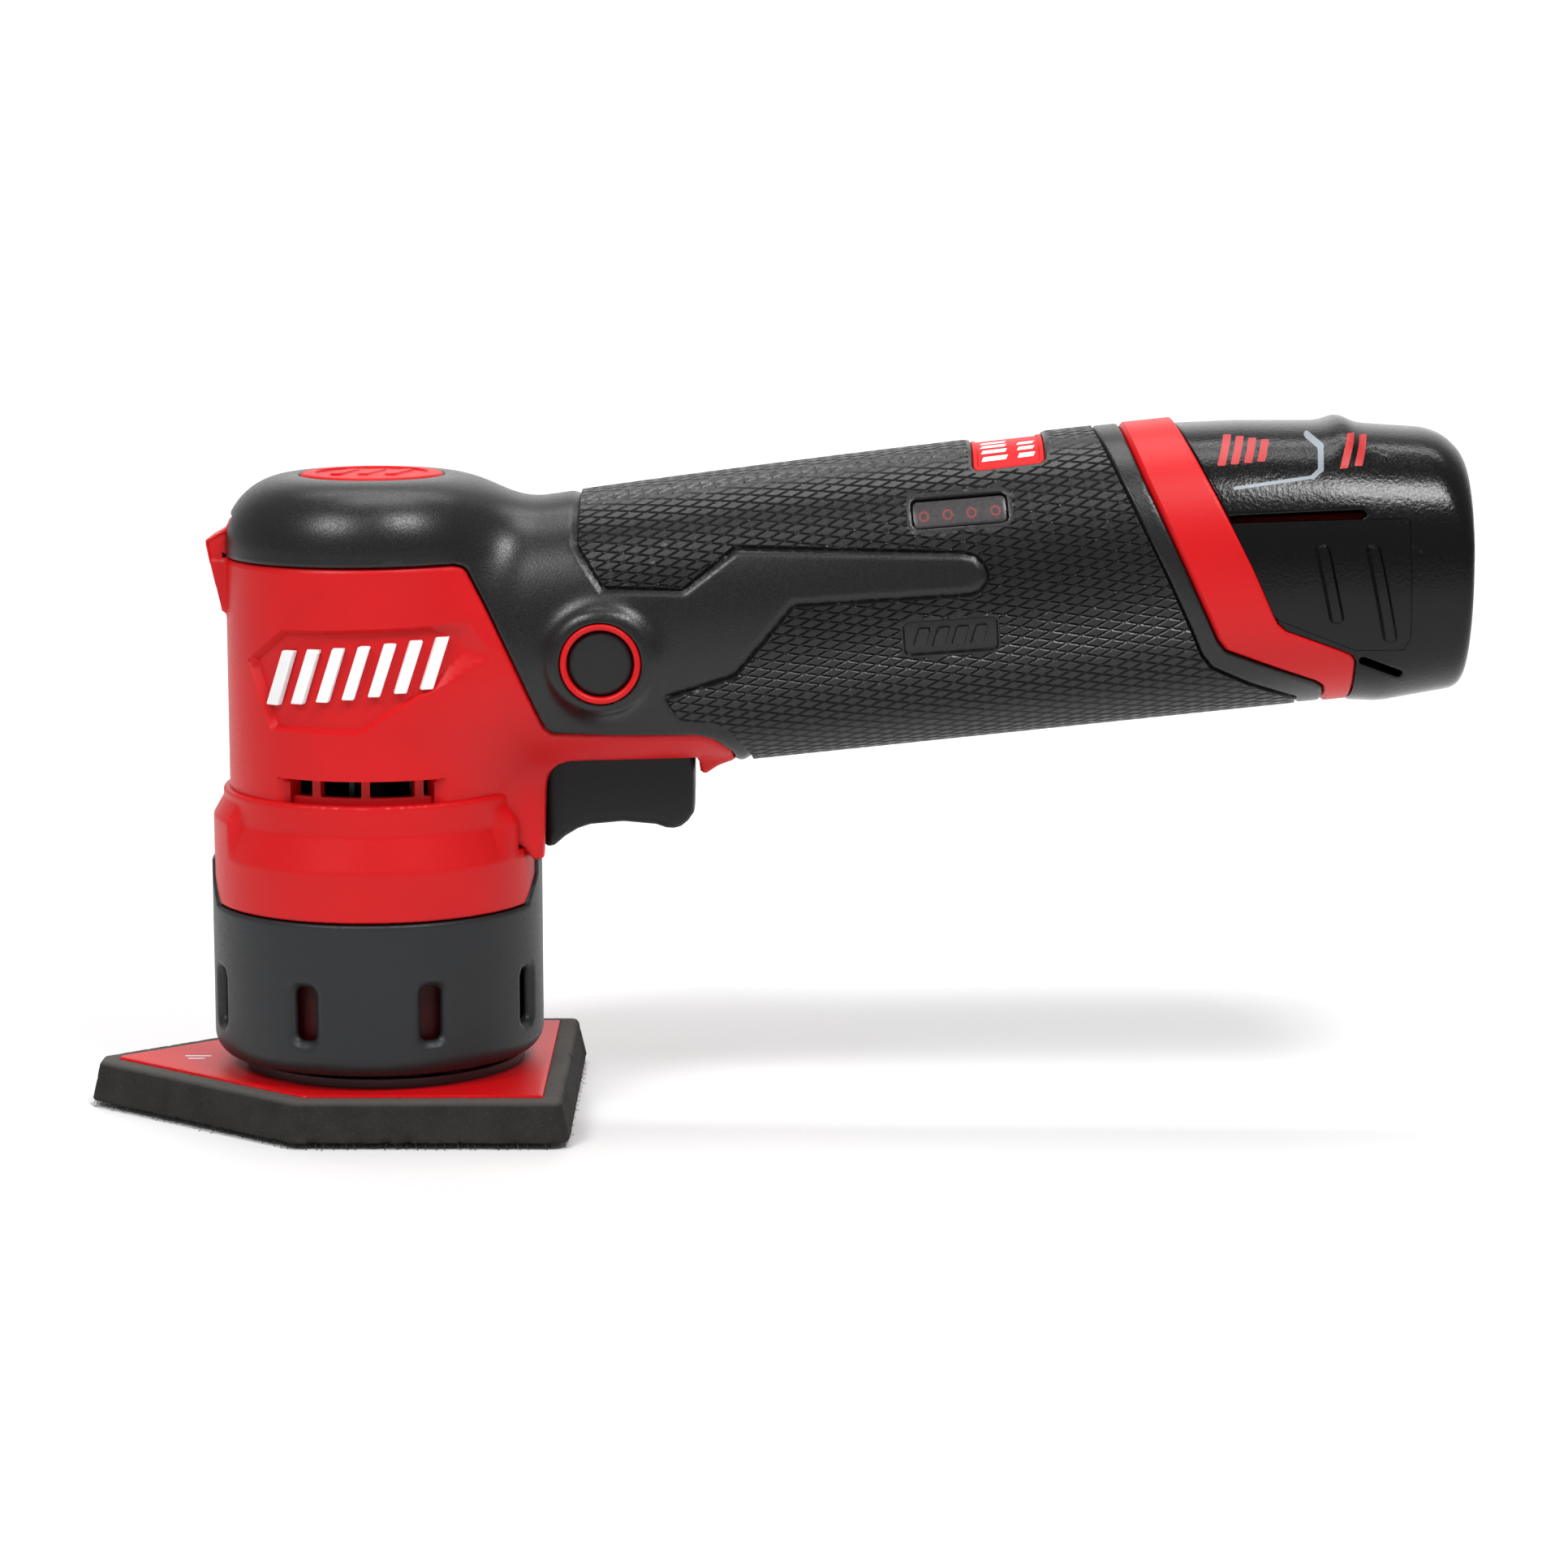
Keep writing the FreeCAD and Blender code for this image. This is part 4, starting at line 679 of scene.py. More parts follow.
def overmold_half(base, left):
    """One half of the soft layer, with its openings, relief and grooves."""
    mesh = base
    field = body_field
    for guide, level, radius in ((red_distance, SEAM_GAP, 0.6), (rear_distance, SEAM_GAP, 0.6),
                                 (ring_distance, 0.0, 0.4), (cap_distance, 0.0, 0.5),
                                 (badge_distance, 0.05, 0.5)):
        mesh = trimmed(field, *mesh, guide, level, True, radius * ROUND_STEPS[1:])
    if left:
        mesh = trimmed(field, *mesh, lens_distance, 0.05, True, np.append(0.4 * ROUND_STEPS[1:], 0.95))
        mesh = imprint(field, *mesh, bar_recess_distance, (-0.3, 0.0, 0.25))
        mesh = imprint(field, *mesh, bar_marks, (-0.18, 0.0))
    else:
        mesh = trimmed(field, *mesh, screw_distance, 0.0, True, (0.3,))
    mesh = imprint(field, *mesh, lambda p: panel_distance(p) / panel_width(p), PANEL_STEPS)
    for family, slope in FAMILIES:
        value = family(mesh[0])
        levels = family_levels(slope, value.min(), value.max())
        mesh = imprint(field, *mesh, family, levels, lambda p: relief_room(p, left) > 0, CUT_SNAP)
    return finished(field, *mesh, lambda p: overmold_height(p, left), 1.6)




# ---------------------------------------------------------------- red housing

VENT_X, VENT_Z = (-15.2, 14.0), (60.0, 68.4)
VENT_SLOPE = 1.7
RIB_PLACES = (-9.1, 0.3, 10.2)
RIB_HALF = 0.8
RIB_R = 25.4
WALL = 3.2


def recess_distance(points):
    x, _, z = points.T
    return left_side(outline_distance(x, z, RECESS), points)


def recess_wall(points):
    """Width of the recess's sloping wall: wide at its rear end."""
    return np.interp(points[:, 0], (13, 19), (0.9, 3.2))


def vent_distance(points, grow=0.0):
    """Distance to the through opening above the collar, grown to both sides."""
    x, _, z = points.T
    middle, half = sum(VENT_X) / 2, (VENT_X[1] - VENT_X[0]) / 2 + grow
    return left_side(bar_distance(x - middle, z - VENT_Z[0], half, VENT_Z[1] - VENT_Z[0], 0.6), points)


def vent_slope(points):
    """How far a point beside the opening is down its sloping side, 1 at the opening."""
    x, _, z = points.T
    outside = np.maximum(VENT_X[0] - x, x - VENT_X[1])
    beside = left_side(z - VENT_Z[1], points) < 0
    return np.where(beside, 1 - ramp(outside, 0.0, VENT_SLOPE), 0.0)


def vent_side(points):
    """Distance to the opening with its sloping sides."""
    return vent_distance(points, VENT_SLOPE)


def head_height(points):
    """How far the head's red surface stands above or below the plain body."""
    height = -0.25 - edge_round(-red_distance(points) - SEAM_GAP, 1.1)
    height -= edge_round(-MID_GAP - points[:, 1], 0.25)
    height -= 1.4 * ramp(-recess_distance(points) / recess_wall(points), 0.0, 1.0)
    height -= 1.7 * vent_slope(points)
    return height


def trigger_slot(points):
    """Distance to the opening that the trigger goes up into."""
    x, y, z = points.T
    return np.maximum(np.maximum(33.0 - x, x - 62.15),
                      np.maximum(np.abs(y) - 8.7, np.abs(z - 70.0) - 6.5))


def head_half(base, left):
    """The red head and neck, with the recess and openings."""
    field = body_field
    mesh = trimmed(field, *base, red_distance, -SEAM_GAP, False, 1.1 * ROUND_STEPS[1:])
    mesh = imprint(field, *mesh, lambda p: p[:, 1], (-0.3, -0.15))
    mesh = imprint(field, *mesh, lambda p: recess_distance(p) / recess_wall(p), (-1.0, 0.0))
    mesh = imprint(field, *mesh, vent_side, (0.0,))
    mesh = trimmed(field, *mesh, vent_distance, 0.0, True)
    mesh = trimmed(field, *mesh, trigger_slot, 0.0, True)
    if not left:
        mesh = trimmed(field, *mesh, screw_distance, 0.0, True)
    mesh = keep(*mesh, lambda p: (p[:, 2] > 61.0) | (p[:, 0] > 20.0))
    return finished(field, *mesh, head_height, WALL)


def band_height(points):
    """How far the end band stands above or below the plain body."""
    inside = -band_distance(points) - SEAM_GAP
    front = -outline_distance(points[:, 0], points[:, 2], REAR) - SEAM_GAP
    height = 0.15 - edge_round(inside, 0.5)
    height -= 0.8 * (1 - ramp(front, 0.0, 0.9))
    return height - edge_round(-MID_GAP - points[:, 1], 0.25)


def band_half(base):
    """One half of the end band."""
    field = body_field
    steps = np.append(0.5 * ROUND_STEPS[1:], 0.9)
    mesh = trimmed(field, *base, band_distance, -SEAM_GAP, False, steps)
    mesh = imprint(field, *mesh, lambda p: p[:, 1], (-0.3, -0.15))
    return finished(field, *mesh, band_height, WALL + 1.0)


def turned(profile, sections, middle=(0.0, 0.0), closed=True):
    """Turns an (r, z) profile about an upright axis."""
    angles = np.linspace(0, 2 * math.pi, sections, endpoint=False)
    rings = len(profile)
    points = np.array([(r * math.cos(a) + middle[0], r * math.sin(a) + middle[1], z)
                       for a in angles for r, z in profile])
    quads = []
    last = rings if closed else rings - 1
    for i in range(sections):
        j = (i + 1) % sections
        for k in range(last):
            m = (k + 1) % rings
            quads.append((i * rings + k, j * rings + k, j * rings + m, i * rings + m))
    return points, triangulate(points, np.array(quads))


def rounded(profile, radius, steps=4):
    """An outline with its corners replaced by short curves."""
    corners = [np.array(c, float) for c in profile]
    out = []
    for before, here, after in zip(corners[-1:] + corners[:-1], corners, corners[1:] + corners[:1]):
        to_before, to_after = before - here, after - here
        reach = min(radius, 0.45 * np.linalg.norm(to_before), 0.45 * np.linalg.norm(to_after))
        start = here + to_before / np.linalg.norm(to_before) * reach
        end = here + to_after / np.linalg.norm(to_after) * reach
        for share in np.linspace(0, 1, steps):
            curve = (1 - share) ** 2 * start + 2 * share * (1 - share) * here + share ** 2 * end
            out.append(tuple(curve))
    return out


def sideways(points, at, side):
    """Lays a part turned about Z on its side, facing out at |y|, at (x, z)."""
    x, y, z = points.T
    return np.column_stack([x + at[0], side * z, y + at[1]])


def button_ring(side):
    """The red ring round a side button."""
    profile = rounded(((6.35, 14.0), (6.35, 24.9), (6.8, 25.2), (7.3, 25.2), (7.6, 24.8), (7.6, 14.0)),
                      0.35, 5)
    points, faces = turned(profile, 96)
    points = sideways(points, BUTTON, side)
    return points, faces[:, ::-1] if side > 0 else faces


def vent_frame():
    """Ribbed frame behind the exhaust opening, on the left side."""
    def field(points):
        return np.hypot(points[:, 0], points[:, 1]) - RIB_R

    mesh = surface(field, (-19, -27, 59), (19, -15, 72), 0.8)
    windows = []
    edges = (VENT_X[0] - 1.2,) + RIB_PLACES + (VENT_X[1] + 1.2,)
    for low, high in zip(edges, edges[1:]):
        windows.append(((low + high) / 2, (high - low) / 2 - RIB_HALF))

    def openings(p):
        return np.min([bar_distance(p[:, 0] - middle, p[:, 2] - 67.4, half, 2.6, 0.3)
                       for middle, half in windows], axis=0)

    mesh = keep(*mesh, lambda p: (np.abs(p[:, 0]) < 18) & (p[:, 2] > 60) & (p[:, 2] < 71))
    mesh = trimmed(field, *mesh, openings, 0.0, True)
    return finished(field, *mesh, level_height(0.0), 1.8)


INNER_DEPTH, INNER_STEP = 3.4, 2.4


def inner_wall(left):
    """The housing's inside face, seen through the openings and at the battery's end."""
    def field(points):
        return body_field(points) + INNER_DEPTH

    def seen(p):
        room = (vent_distance(p) > -0.5) & (p[:, 2] > 61.5) & (mouth_room(p) > 0)
        return room & (case_distance(p) > 0.3)

    points, faces = surface(field, (-30, -30, 60), (190, 1.5, 132), INNER_STEP)
    points, faces = halved(field, points, faces)
    if not left:
        points, faces = trimmed(field, points, faces, screw_distance, 0.0, True)
    points, faces = keep(points, faces, seen)
    return points, faces[:, ::-1]


def mouth_room(points):
    """Negative inside the trigger's opening."""
    x, y, z = points.T
    return np.maximum(np.maximum(33.5 - x, x - 63.0), np.maximum(np.abs(y) - 9.2, z - 76.0))


WELL_R, WELL_FLOOR = 3.05, 13.0


def screw_wells():
    """Round wells that the housing screws stand in, up to just under the surface."""
    profile = [(0.3, WELL_FLOOR)] + [(WELL_R, z) for z in np.arange(WELL_FLOOR, 29.0, 0.4)]
    wells = []
    for at in HOUSING_SCREWS:
        points, faces = turned(profile, 40, closed=False)
        wells.append(keep(sideways(points, at, 1), faces, lambda p: body_field(p) < -0.5))
    return joined(*wells)


def housing(base, left):
    """One red clamshell half: head and neck, end band, button ring, vent frame and inner wall."""
    points, faces = joined(head_half(base, left), band_half(base), vent_frame(), inner_wall(left))
    if not left:
        points, faces = joined(mirrored(points, faces), screw_wells())
    ring = button_ring(-1 if left else 1)
    return joined((points, faces), ring)


def recess_bars():
    """Seven plain slanted bars standing in the head's recess."""
    places = np.linspace(-15.2, 13.4, 7)
    lean = 0.32

    def bars(p):
        x, _, z = p.T
        near = []
        for place in places:
            low = 82.0 + 0.12 * (place + 16)
            high = 92.6 + 0.09 * (place + 16)
            middle, half = (low + high) / 2, (high - low) / 2
            near.append(bar_distance(x - place - lean * (z - middle), z - middle, 1.15, half, 0.25))
        return left_side(np.min(near, axis=0), p)

    def field(points):
        return body_field(points) + 1.25

    mesh = surface(field, (-26, -30, 76), (26, -14, 99), 0.6)
    mesh = trimmed(field, *mesh, bars, 0.0, False, (0.1, 0.25))
    return finished(field, *mesh, lambda p: 0.95 - edge_round(-bars(p), 0.25), 1.0)


# ---------------------------------------------------------------- collar, shroud, cap, badge, lens

COLLAR = (41.9, 63.8)
SHROUD, SHROUD_EDGE_R, SLOT_TURN = (11.4, 41.6), 4.6, 0.018
TAB_TOP = 49.8


def collar_radius(points):
    """Outer radius of the collar: a band, a slope and a narrower band, with two raised blocks."""
    x, y, z = points.T
    plain = np.interp(z, (51.4, 58.0), (31.4, 29.4))
    block = np.interp(z, (58.4, 62.8), (31.4, 28.9))
    bearing = np.degrees(np.arctan2(np.abs(y), np.abs(x)))
    wide = np.where(x < 0, 1 - ramp(bearing, 30.5, 34.5), 1 - ramp(bearing, 28.5, 37.0))
    return np.maximum(plain, plain + (block - plain) * wide)


def collar_field(points):
    x, y, z = points.T
    out = np.hypot(x, y)
    shape = smooth_max(out - collar_radius(points), z - COLLAR[1], 0.7)
    shape = smooth_max(shape, COLLAR[0] - z, 0.6)
    shape = np.maximum(shape, 27.4 - out)
    leg = np.maximum(np.abs(y) - 13.35, 20 - x)
    notch = np.maximum(leg, np.maximum(49.9 - z, 52.8 - z + np.maximum(x - 28.6, 0)))
    shape = smooth_max(shape, -notch, 0.5)
    tab = tab_distance(points, 0.25)
    return smooth_max(shape, -np.maximum(tab, 30.1 - out), 0.4)


def tab_distance(points, grow):
    """Distance to the shroud's front and rear tabs, by height and half width."""
    _, y, z = points.T
    half = np.interp(z, (42.3, 46.9), (10.8, 5.6)) + grow
    return np.maximum(np.abs(y) - half, z - TAB_TOP - grow)


def shroud_field(points):
    x, y, z = points.T
    out = np.hypot(x, y)
    low = SHROUD[0] + SHROUD_EDGE_R
    outline = ((0, low), (27.3, low), (27.3, 60), (0, 60))
    outside = outline_distance(out, z, outline) - SHROUD_EDGE_R
    top = smooth_min(z - SHROUD[1], np.maximum(tab_distance(points, 0.0), 30.3 - out), 0.5)
    shape = smooth_max(outside, top, 0.7)
    shape = smooth_max(shape, 29.8 - out, 0.4)
    shape = np.maximum(shape, np.where(z < SHROUD[0] + 4, 27.6 - out, shape))
    turn = np.arctan2(y, x) - math.pi / 8 - SLOT_TURN
    turn = turn - np.round(turn / (math.pi / 4)) * math.pi / 4
    slot = bar_distance(32 * turn, z - 24.1, 2.2, 5.2, 1.5)
    shape = smooth_max(shape, -slot, 0.35)
    return smooth_max(shape, -(slot - 1.25 + (31.9 - out) * 1.1) * 0.7, 0.35)


def make_collar(finish, liner_painted_shade_finish):
    mesh = surface(collar_field, (-33, -33, 41), (33, 33, 65), 0.5)
    make_object("collar", *mesh, finish, "tool_body", ("lower_collar",), "housing_red", 24)
    # A red liner inside the shroud, seen through its slots; its finish is painted shade, far darker than the
    # housing red, for the shadow inside the shroud.
    profile = ((27.5, 17.9), (28.3, 17.9), (28.3, 37.0), (29.5, 37.0), (29.5, 43.0), (27.5, 43.0))
    mesh = turned(rounded(profile, 0.3), 128)
    make_object("collar_liner", *mesh, liner_painted_shade_finish, "tool_body")


def make_shroud(finish):
    mesh = surface(shroud_field, (-33, -33, 11), (33, 33, 50.8), 0.5)
    make_object("shroud", *mesh, finish, "tool_body", ("dust_shroud",), "shroud_plastic", 28)


CAP_TOP = 124.25


def cap_profile(r):
    return CAP_TOP - 0.002 * r * r


def cap_field(points):
    """Slightly domed cap with a shallow dish and three short raised bars."""
    x, y, z = points.T
    out = np.hypot(x, y)
    shape = smooth_max(out - CAP_R, z - cap_profile(out), 0.9)
    shape = smooth_max(shape, 120.8 - z, 0.3)
    dish = np.maximum(out - 10.6, cap_profile(out) - 0.45 - z)
    shape = smooth_max(shape, -dish, 0.4)
    bars = [bar_distance(x - place - 0.3 * y, y, 1.1, 4.6, 0.5) for place in (-5.2, 0.0, 5.2)]
    height = np.maximum(z - CAP_TOP + 0.15, CAP_TOP - 1.9 - z)
    return smooth_min(shape, np.maximum(np.min(bars, axis=0), height), 0.25)


def make_cap(finish):
    mesh = surface(cap_field, (-14.5, -14.5, 120), (14.5, 14.5, 124.8), 0.4)
    make_object("cap", *mesh, finish, "tool_body", ("head_cap",), "badge_red", 30)


BADGE_PRINT = ((118.6, 2.3, (11.2, 8.4, 5.6, 2.8)), (124.6, 1.5, (11.2, 8.4, 5.6)))


def make_badge(base, finish, print_finish):
    """Thin plate across the top of the grip, with a plain raised border and printed bars."""
    field = body_field
    mesh = trimmed(field, *base, badge_distance, -0.05, False, (0.15, 0.8, 1.0))
    mesh = refine(field, *mesh, 0.8)

    def height(p):
        inside = -badge_distance(p) - 0.05
        return -0.45 - 0.25 * ramp(inside, 0.8, 1.0) - edge_round(inside, 0.15)

    half = finished(field, *mesh, height, 1.2)
    mesh = joined(half, mirrored(*half))
    make_object("badge", *mesh, finish, "tool_body", ("top_badge",), "badge_red")

    def print_marks(p):
        x, y, _ = p.T
        return np.min([bar_distance(x - middle - 0.3 * (y + place), y + place, half, 0.75, 0.15)
                       for middle, half, places in BADGE_PRINT for place in places], axis=0)

    mesh = refine(field, *keep(*base, lambda p: badge_distance(p) < -0.3), 0.6)
    mesh = trimmed(field, *mesh, print_marks, 0.0, False)
    mesh = finished(field, *mesh, level_height(-0.64), 0.2)
    make_object("badge_print", *mesh, print_finish, "tool_body")


def make_lens(base, finish, dot_finish):
    """Smoked lens with a shallow crown, and the four ring marks of its lights."""
    field = body_field
    mesh = trimmed(field, *base, lens_distance, -0.1, False, (0.12, 0.5))
    mesh = refine(field, *mesh, 0.7)

    def height(p):
        return -0.55 - edge_round(-lens_distance(p) - 0.1, 0.35)

    mesh = finished(field, *mesh, height, 1.6)
    make_object("lens", *mesh, finish, "tool_body", ("gauge_lens",), "smoked_lens")
    for number in range(4):
        centre = (LENS[0] + 4.45 * (number - 1.5), LENS[1] - 0.3 + 0.42 * (number - 1.5))

        def ring(p, centre=centre):
            return np.abs(round_distance(p, centre, 0.8)) - 0.2

        mesh = keep(*base, lambda p, centre=centre: round_distance(p, centre, 0.0) < 2.5)
        mesh = trimmed(field, *refine(field, *mesh, 0.35), ring, 0.0, False)
        mesh = finished(field, *mesh, level_height(-0.53), 0.2)
        make_object("lens_mark_%d" % (number + 1), *mesh, dot_finish, "tool_body")


# ---------------------------------------------------------------- trigger and buttons

TRIGGER_TOP = 70.7
TRIGGER = ((32.6, 76.0), (32.6, 52.4), (33.6, 51.9), (34.9, 52.2), (37.0, 54.1), (39.4, 55.6),
           (41.7, 56.4), (48.0, 57.0), (54.3, 56.4), (56.2, 55.7), (57.8, 55.6), (59.2, 56.0), (60.6, 57.2),
           (61.7, 58.9), (61.8, 76.0))


def trigger_field(points):
    x, y, z = points.T
    side = outline_distance(x, z, TRIGGER) + 0.06 * (y / 8.4) ** 2 * np.maximum(62 - z, 0)
    return np.maximum(smooth_max(side, np.abs(y) - 8.35, 2.2), z - TRIGGER_TOP)


def make_trigger(finish):
    mesh = surface(trigger_field, (33, -9.5, 51), (63, 9.5, 77), 0.5)
    make_object("trigger_paddle", *mesh, finish, "trigger", ("trigger",), "trigger_black", 40)


def make_buttons(finish):
    corners = ((-2.0, 24.42), (3.0, 24.40), (5.2, 24.28), (6.05, 23.9), (6.05, 15.0), (-2.0, 15.0))
    profile = [(max(r, 0.0), z) for r, z in rounded(corners, 0.5, 5)]
    for name, side in SIDES.items():
        points, faces = tidy(*turned(profile, 96))
        points = sideways(points, BUTTON, side)
        make_object("lock_cap_" + name, points, faces[:, ::-1] if side > 0 else faces, finish,
                    "lock_button_" + name, ("lock_button_" + name,), "button_black", 40)


# ---------------------------------------------------------------- battery

LATCH = ((161.2, 117.0), (168.0, 100.9), (171.6, 98.3), (186.0, 92.5), (195.0, 92.6), (196.2, 95.0),
         (195.5, 117.6))
LATCH_GAP = 0.10
FLANK = 6.0
SLIT = ((154.0, 115.9), (163.3, 116.8), (186.2, 117.5), (187.2, 118.0), (187.3, 118.6), (186.6, 119.1),
        (163.3, 118.0), (154.0, 117.0))
SLOT_ENDS = ((187.6, 90.4), (194.6, 87.6))
RIBS = (((178.95, 112.6), (182.25, 98.0)), ((188.4, 112.6), (192.4, 94.4)))
CREASES = (((189.3, 130.0), (192.4, 128.4)), ((193.3, 113.8), (198.2, 110.6)))


def case_distance(points):
    return outline_distance(points[:, 0], points[:, 2], CASE)


def both_sides(distance, points):
    """Limits a feature to the two flanks."""
    return np.maximum(distance, FLANK - np.abs(points[:, 1]))


def latch_distance(points):
    return both_sides(outline_distance(points[:, 0], points[:, 2], LATCH), points)


def slit_distance(points):
    return both_sides(outline_distance(points[:, 0], points[:, 2], SLIT) - 0.1, points)


def stroke_distance(points, start, end, half):
    """Distance to a round-ended stroke on either side of the shell."""
    x, _, z = points.T
    dx, dz = end[0] - start[0], end[1] - start[1]
    along = np.clip(((x - start[0]) * dx + (z - start[1]) * dz) / (dx * dx + dz * dz), 0, 1)
    return both_sides(np.hypot(x - start[0] - along * dx, z - start[1] - along * dz) - half, points)


def slot_distance(points):
    return stroke_distance(points, *SLOT_ENDS, 0.75)


def crease_distance(points):
    return np.min([stroke_distance(points, *ends, 0.12) for ends in CREASES], axis=0)


def rib_distance(points):
    """Distance to the latch's two upright bars, whose ends are cut level."""
    x, _, z = points.T
    near = []
    for (top_x, top_z), (low_x, low_z) in RIBS:
        middle = np.interp(z, (low_z, top_z), (low_x, top_x))
        near.append(bar_distance(x - middle, z - (top_z + low_z) / 2, 1.3, (top_z - low_z) / 2, 0.9))
    return np.min(near, axis=0)


LINE_MARK = ((163.0, 122.9), (177.6, 124.9), (179.2, 126.2), (179.6, 130.2), (177.6, 131.9))
RED_MARKS = tuple((161.6 + 2.4 * k, 2.6 - 0.25 * k) for k in range(4)) + ((184.6, 3.0), (187.2, 2.6))


def line_mark_distance(points):
    """Bent grey line on the shell, which widens towards its corner."""
    near = [stroke_distance(points, start, end, 0.30 + 0.12 * number)
            for number, (start, end) in enumerate(zip(LINE_MARK, LINE_MARK[1:]))]
    return left_side(np.min(near, axis=0), points, FLANK)


def red_mark_distance(points):
    """Plain slanted bars beside the line."""
    x, _, z = points.T
    up = z - 129.4
    near = [bar_distance(x - place - 0.35 * up, up, 0.75, half, 0.15) for place, half in RED_MARKS]
    return left_side(np.min(near, axis=0), points, FLANK)


def battery_skin():
    """The whole shell, from the end band to the back end."""
    mesh = surface(case_field, (146, -27.5, 60), (212, 27.5, 137), 1.1)
    steps = np.append(0.4 * ROUND_STEPS[1:], 0.8)
    return trimmed(case_field, *mesh, case_distance, -SEAM_GAP, False, steps)


def case_height(points):
    """How far the battery's shell has dropped at its edges and creases."""
    height = -edge_round(-case_distance(points) - SEAM_GAP, 0.4)
    height -= edge_round(slit_distance(points), 0.35)
    height -= edge_round(slot_distance(points), 0.35)
    return height - 0.12 * ramp(-crease_distance(points), -0.12, 0.12)


def latch_height(points):
    """Raises the latch's two bars."""
    return 1.0 * ramp(-rib_distance(points), -0.15, 0.45)


def make_battery(finish, line_finish, bar_finish):
    """The shell with its slits and creases, the two ribbed latches and the printed marks."""
    skin = battery_skin()
    mesh = skin
    for guide, steps in ((slit_distance, (0.05, 0.15, 0.35)), (slot_distance, (0.05, 0.15, 0.35)),
                         (latch_distance, ())):
        mesh = trimmed(case_field, *mesh, guide, 0.0, True, steps)
    mesh = imprint(case_field, *mesh, crease_distance, (-0.12, 0.12))
    shell = finished(case_field, *mesh, case_height, 2.2)
    make_object("battery_shell", *shell, finish, "battery", ("battery_case",), "battery_gloss")
    mesh = trimmed(case_field, *skin, latch_distance, -LATCH_GAP, False)
    mesh = trimmed(case_field, *mesh, slit_distance, 0.05, True)
    mesh = imprint(case_field, *mesh, rib_distance, (-0.6, -0.45, -0.15, 0.15))
    both = finished(case_field, *mesh, latch_height, 2.2)
    for name, side in SIDES.items():
        piece = keep(*both, lambda p: side * p[:, 1] > 0)
        make_object("latch_skin_" + name, *piece, finish, "latch_" + name, ("latch_" + name,),
                    "battery_gloss")
    for name, guide, ink in (("battery_line", line_mark_distance, line_finish),
                             ("battery_bars", red_mark_distance, bar_finish)):
        mesh = refine(case_field, *keep(*skin, lambda p: guide(p) < 2.5), 0.6)
        mesh = trimmed(case_field, *mesh, guide, 0.0, False)
        mesh = finished(case_field, *mesh, level_height(0.05), 0.06)
        make_object(name, *mesh, ink, "battery")


# ---------------------------------------------------------------- pad

PAD_HOLES = tuple((1.0 + sx * 13.1, sy * 13.1) for sx in (-1, 1) for sy in (-1, 1))
HOOK_FLOOR, HOOK_TOP = 1.05, 1.35


def pad_outline(grow):
    """Half-hexagon with a blunt nose, grown outwards."""
    wide, nose = 38.0 + grow, 3.0 + grow * 0.4
    back, shoulder, tip = 38.7 + grow, -13.4 - grow * 0.3, -56.3 - grow
    return ((back, -wide), (back, wide), (shoulder, wide), (tip, nose), (tip, -nose), (shoulder, -wide))


def pad_distance(points, corner=3.0):
    """Distance to the pad's outline at the hook face, its corners rounded."""
    return outline_distance(points[:, 0], points[:, 1], pad_outline(-corner)) - corner


def hole_distance(points, radius):
    return np.min([np.hypot(points[:, 0] - x, points[:, 1] - y) - radius for x, y in PAD_HOLES], axis=0)


def scatter(points, seed, size):
    """Smooth random values between -1 and 1, blended from one at each corner of a cell."""
    grid = points / size
    cell = np.floor(grid).astype(np.int64)
    share = grid - cell
    share = share * share * (3 - 2 * share)
    total = np.zeros(len(points))
    for corner in np.ndindex(2, 2, 2):
        mix = (cell + corner) @ np.array((374761393, 668265263, 2147483647)) + seed * 144269
        mix = (mix ^ (mix >> 13)) * 1274126177
        value = ((mix ^ (mix >> 16)) & 65535) / 32767.5 - 1
        weight = np.prod(np.where(np.array(corner) == 1, share, 1 - share), axis=1)
        total += weight * value
    return total


def foam_field(points):
    z = points[:, 2]
    side = pad_distance(points) + 1.7 * (z - 1.3) / 7.6
    shape = smooth_max(side, z - 8.95, 1.1)
    shape = smooth_max(shape, 1.3 - z, 0.3)
    seat = np.maximum(pad_distance(points) + 5.25, 7.7 - z)
    shape = smooth_max(shape, -seat, 0.3)
    shape = np.maximum(shape, -hole_distance(points, 4.2))
    pores = np.maximum(0, scatter(points, 3, 0.75) - 0.25) ** 2 * 0.55
    return shape + pores + 0.05 * scatter(points, 5, 1.9)


def make_foam(finish):
    mesh = surface(foam_field, (-57.5, -39, 0.8), (39.6, 39, 9.6), 0.55, 3)
    mesh = keep(*mesh, lambda p: (pad_distance(p) > -6.4) | (p[:, 2] < 2.0))
    piece = make_object("foam_block", *mesh, finish, "pad", ("pad_foam",), "pad_foam", 60)


def plate_field(points):
    z = points[:, 2]
    side = pad_distance(points, 2.0) + 5.2
    shape = smooth_max(smooth_max(side, z - 9.3, 0.45), 7.75 - z, 0.2)
    return np.maximum(shape, -hole_distance(points, 2.0))


def make_plate(finish, mark_finish):
    mesh = surface(plate_field, (-53, -34, 7.4), (35, 34, 9.9), 0.6, 3)
    make_object("plate_top", *mesh, finish, "pad", ("pad_plate",), "pad_plate_red", 40)

    def mark_field(p):
        along, across = p[:, 0] + 35.8, p[:, 1] + 1.0
        shape = np.minimum(bar_distance(along, across - 1.1, 2.6, 0.35, 0.2),
                           bar_distance(along, across + 1.1, 1.7, 0.35, 0.2))
        return smooth_max(shape, np.abs(p[:, 2] - 9.32) - 0.06, 0.05)

    mesh = surface(mark_field, (-39, -3, 9.1), (-32, 2, 9.5), 0.12)
    make_object("plate_mark", *mesh, mark_finish, "pad")


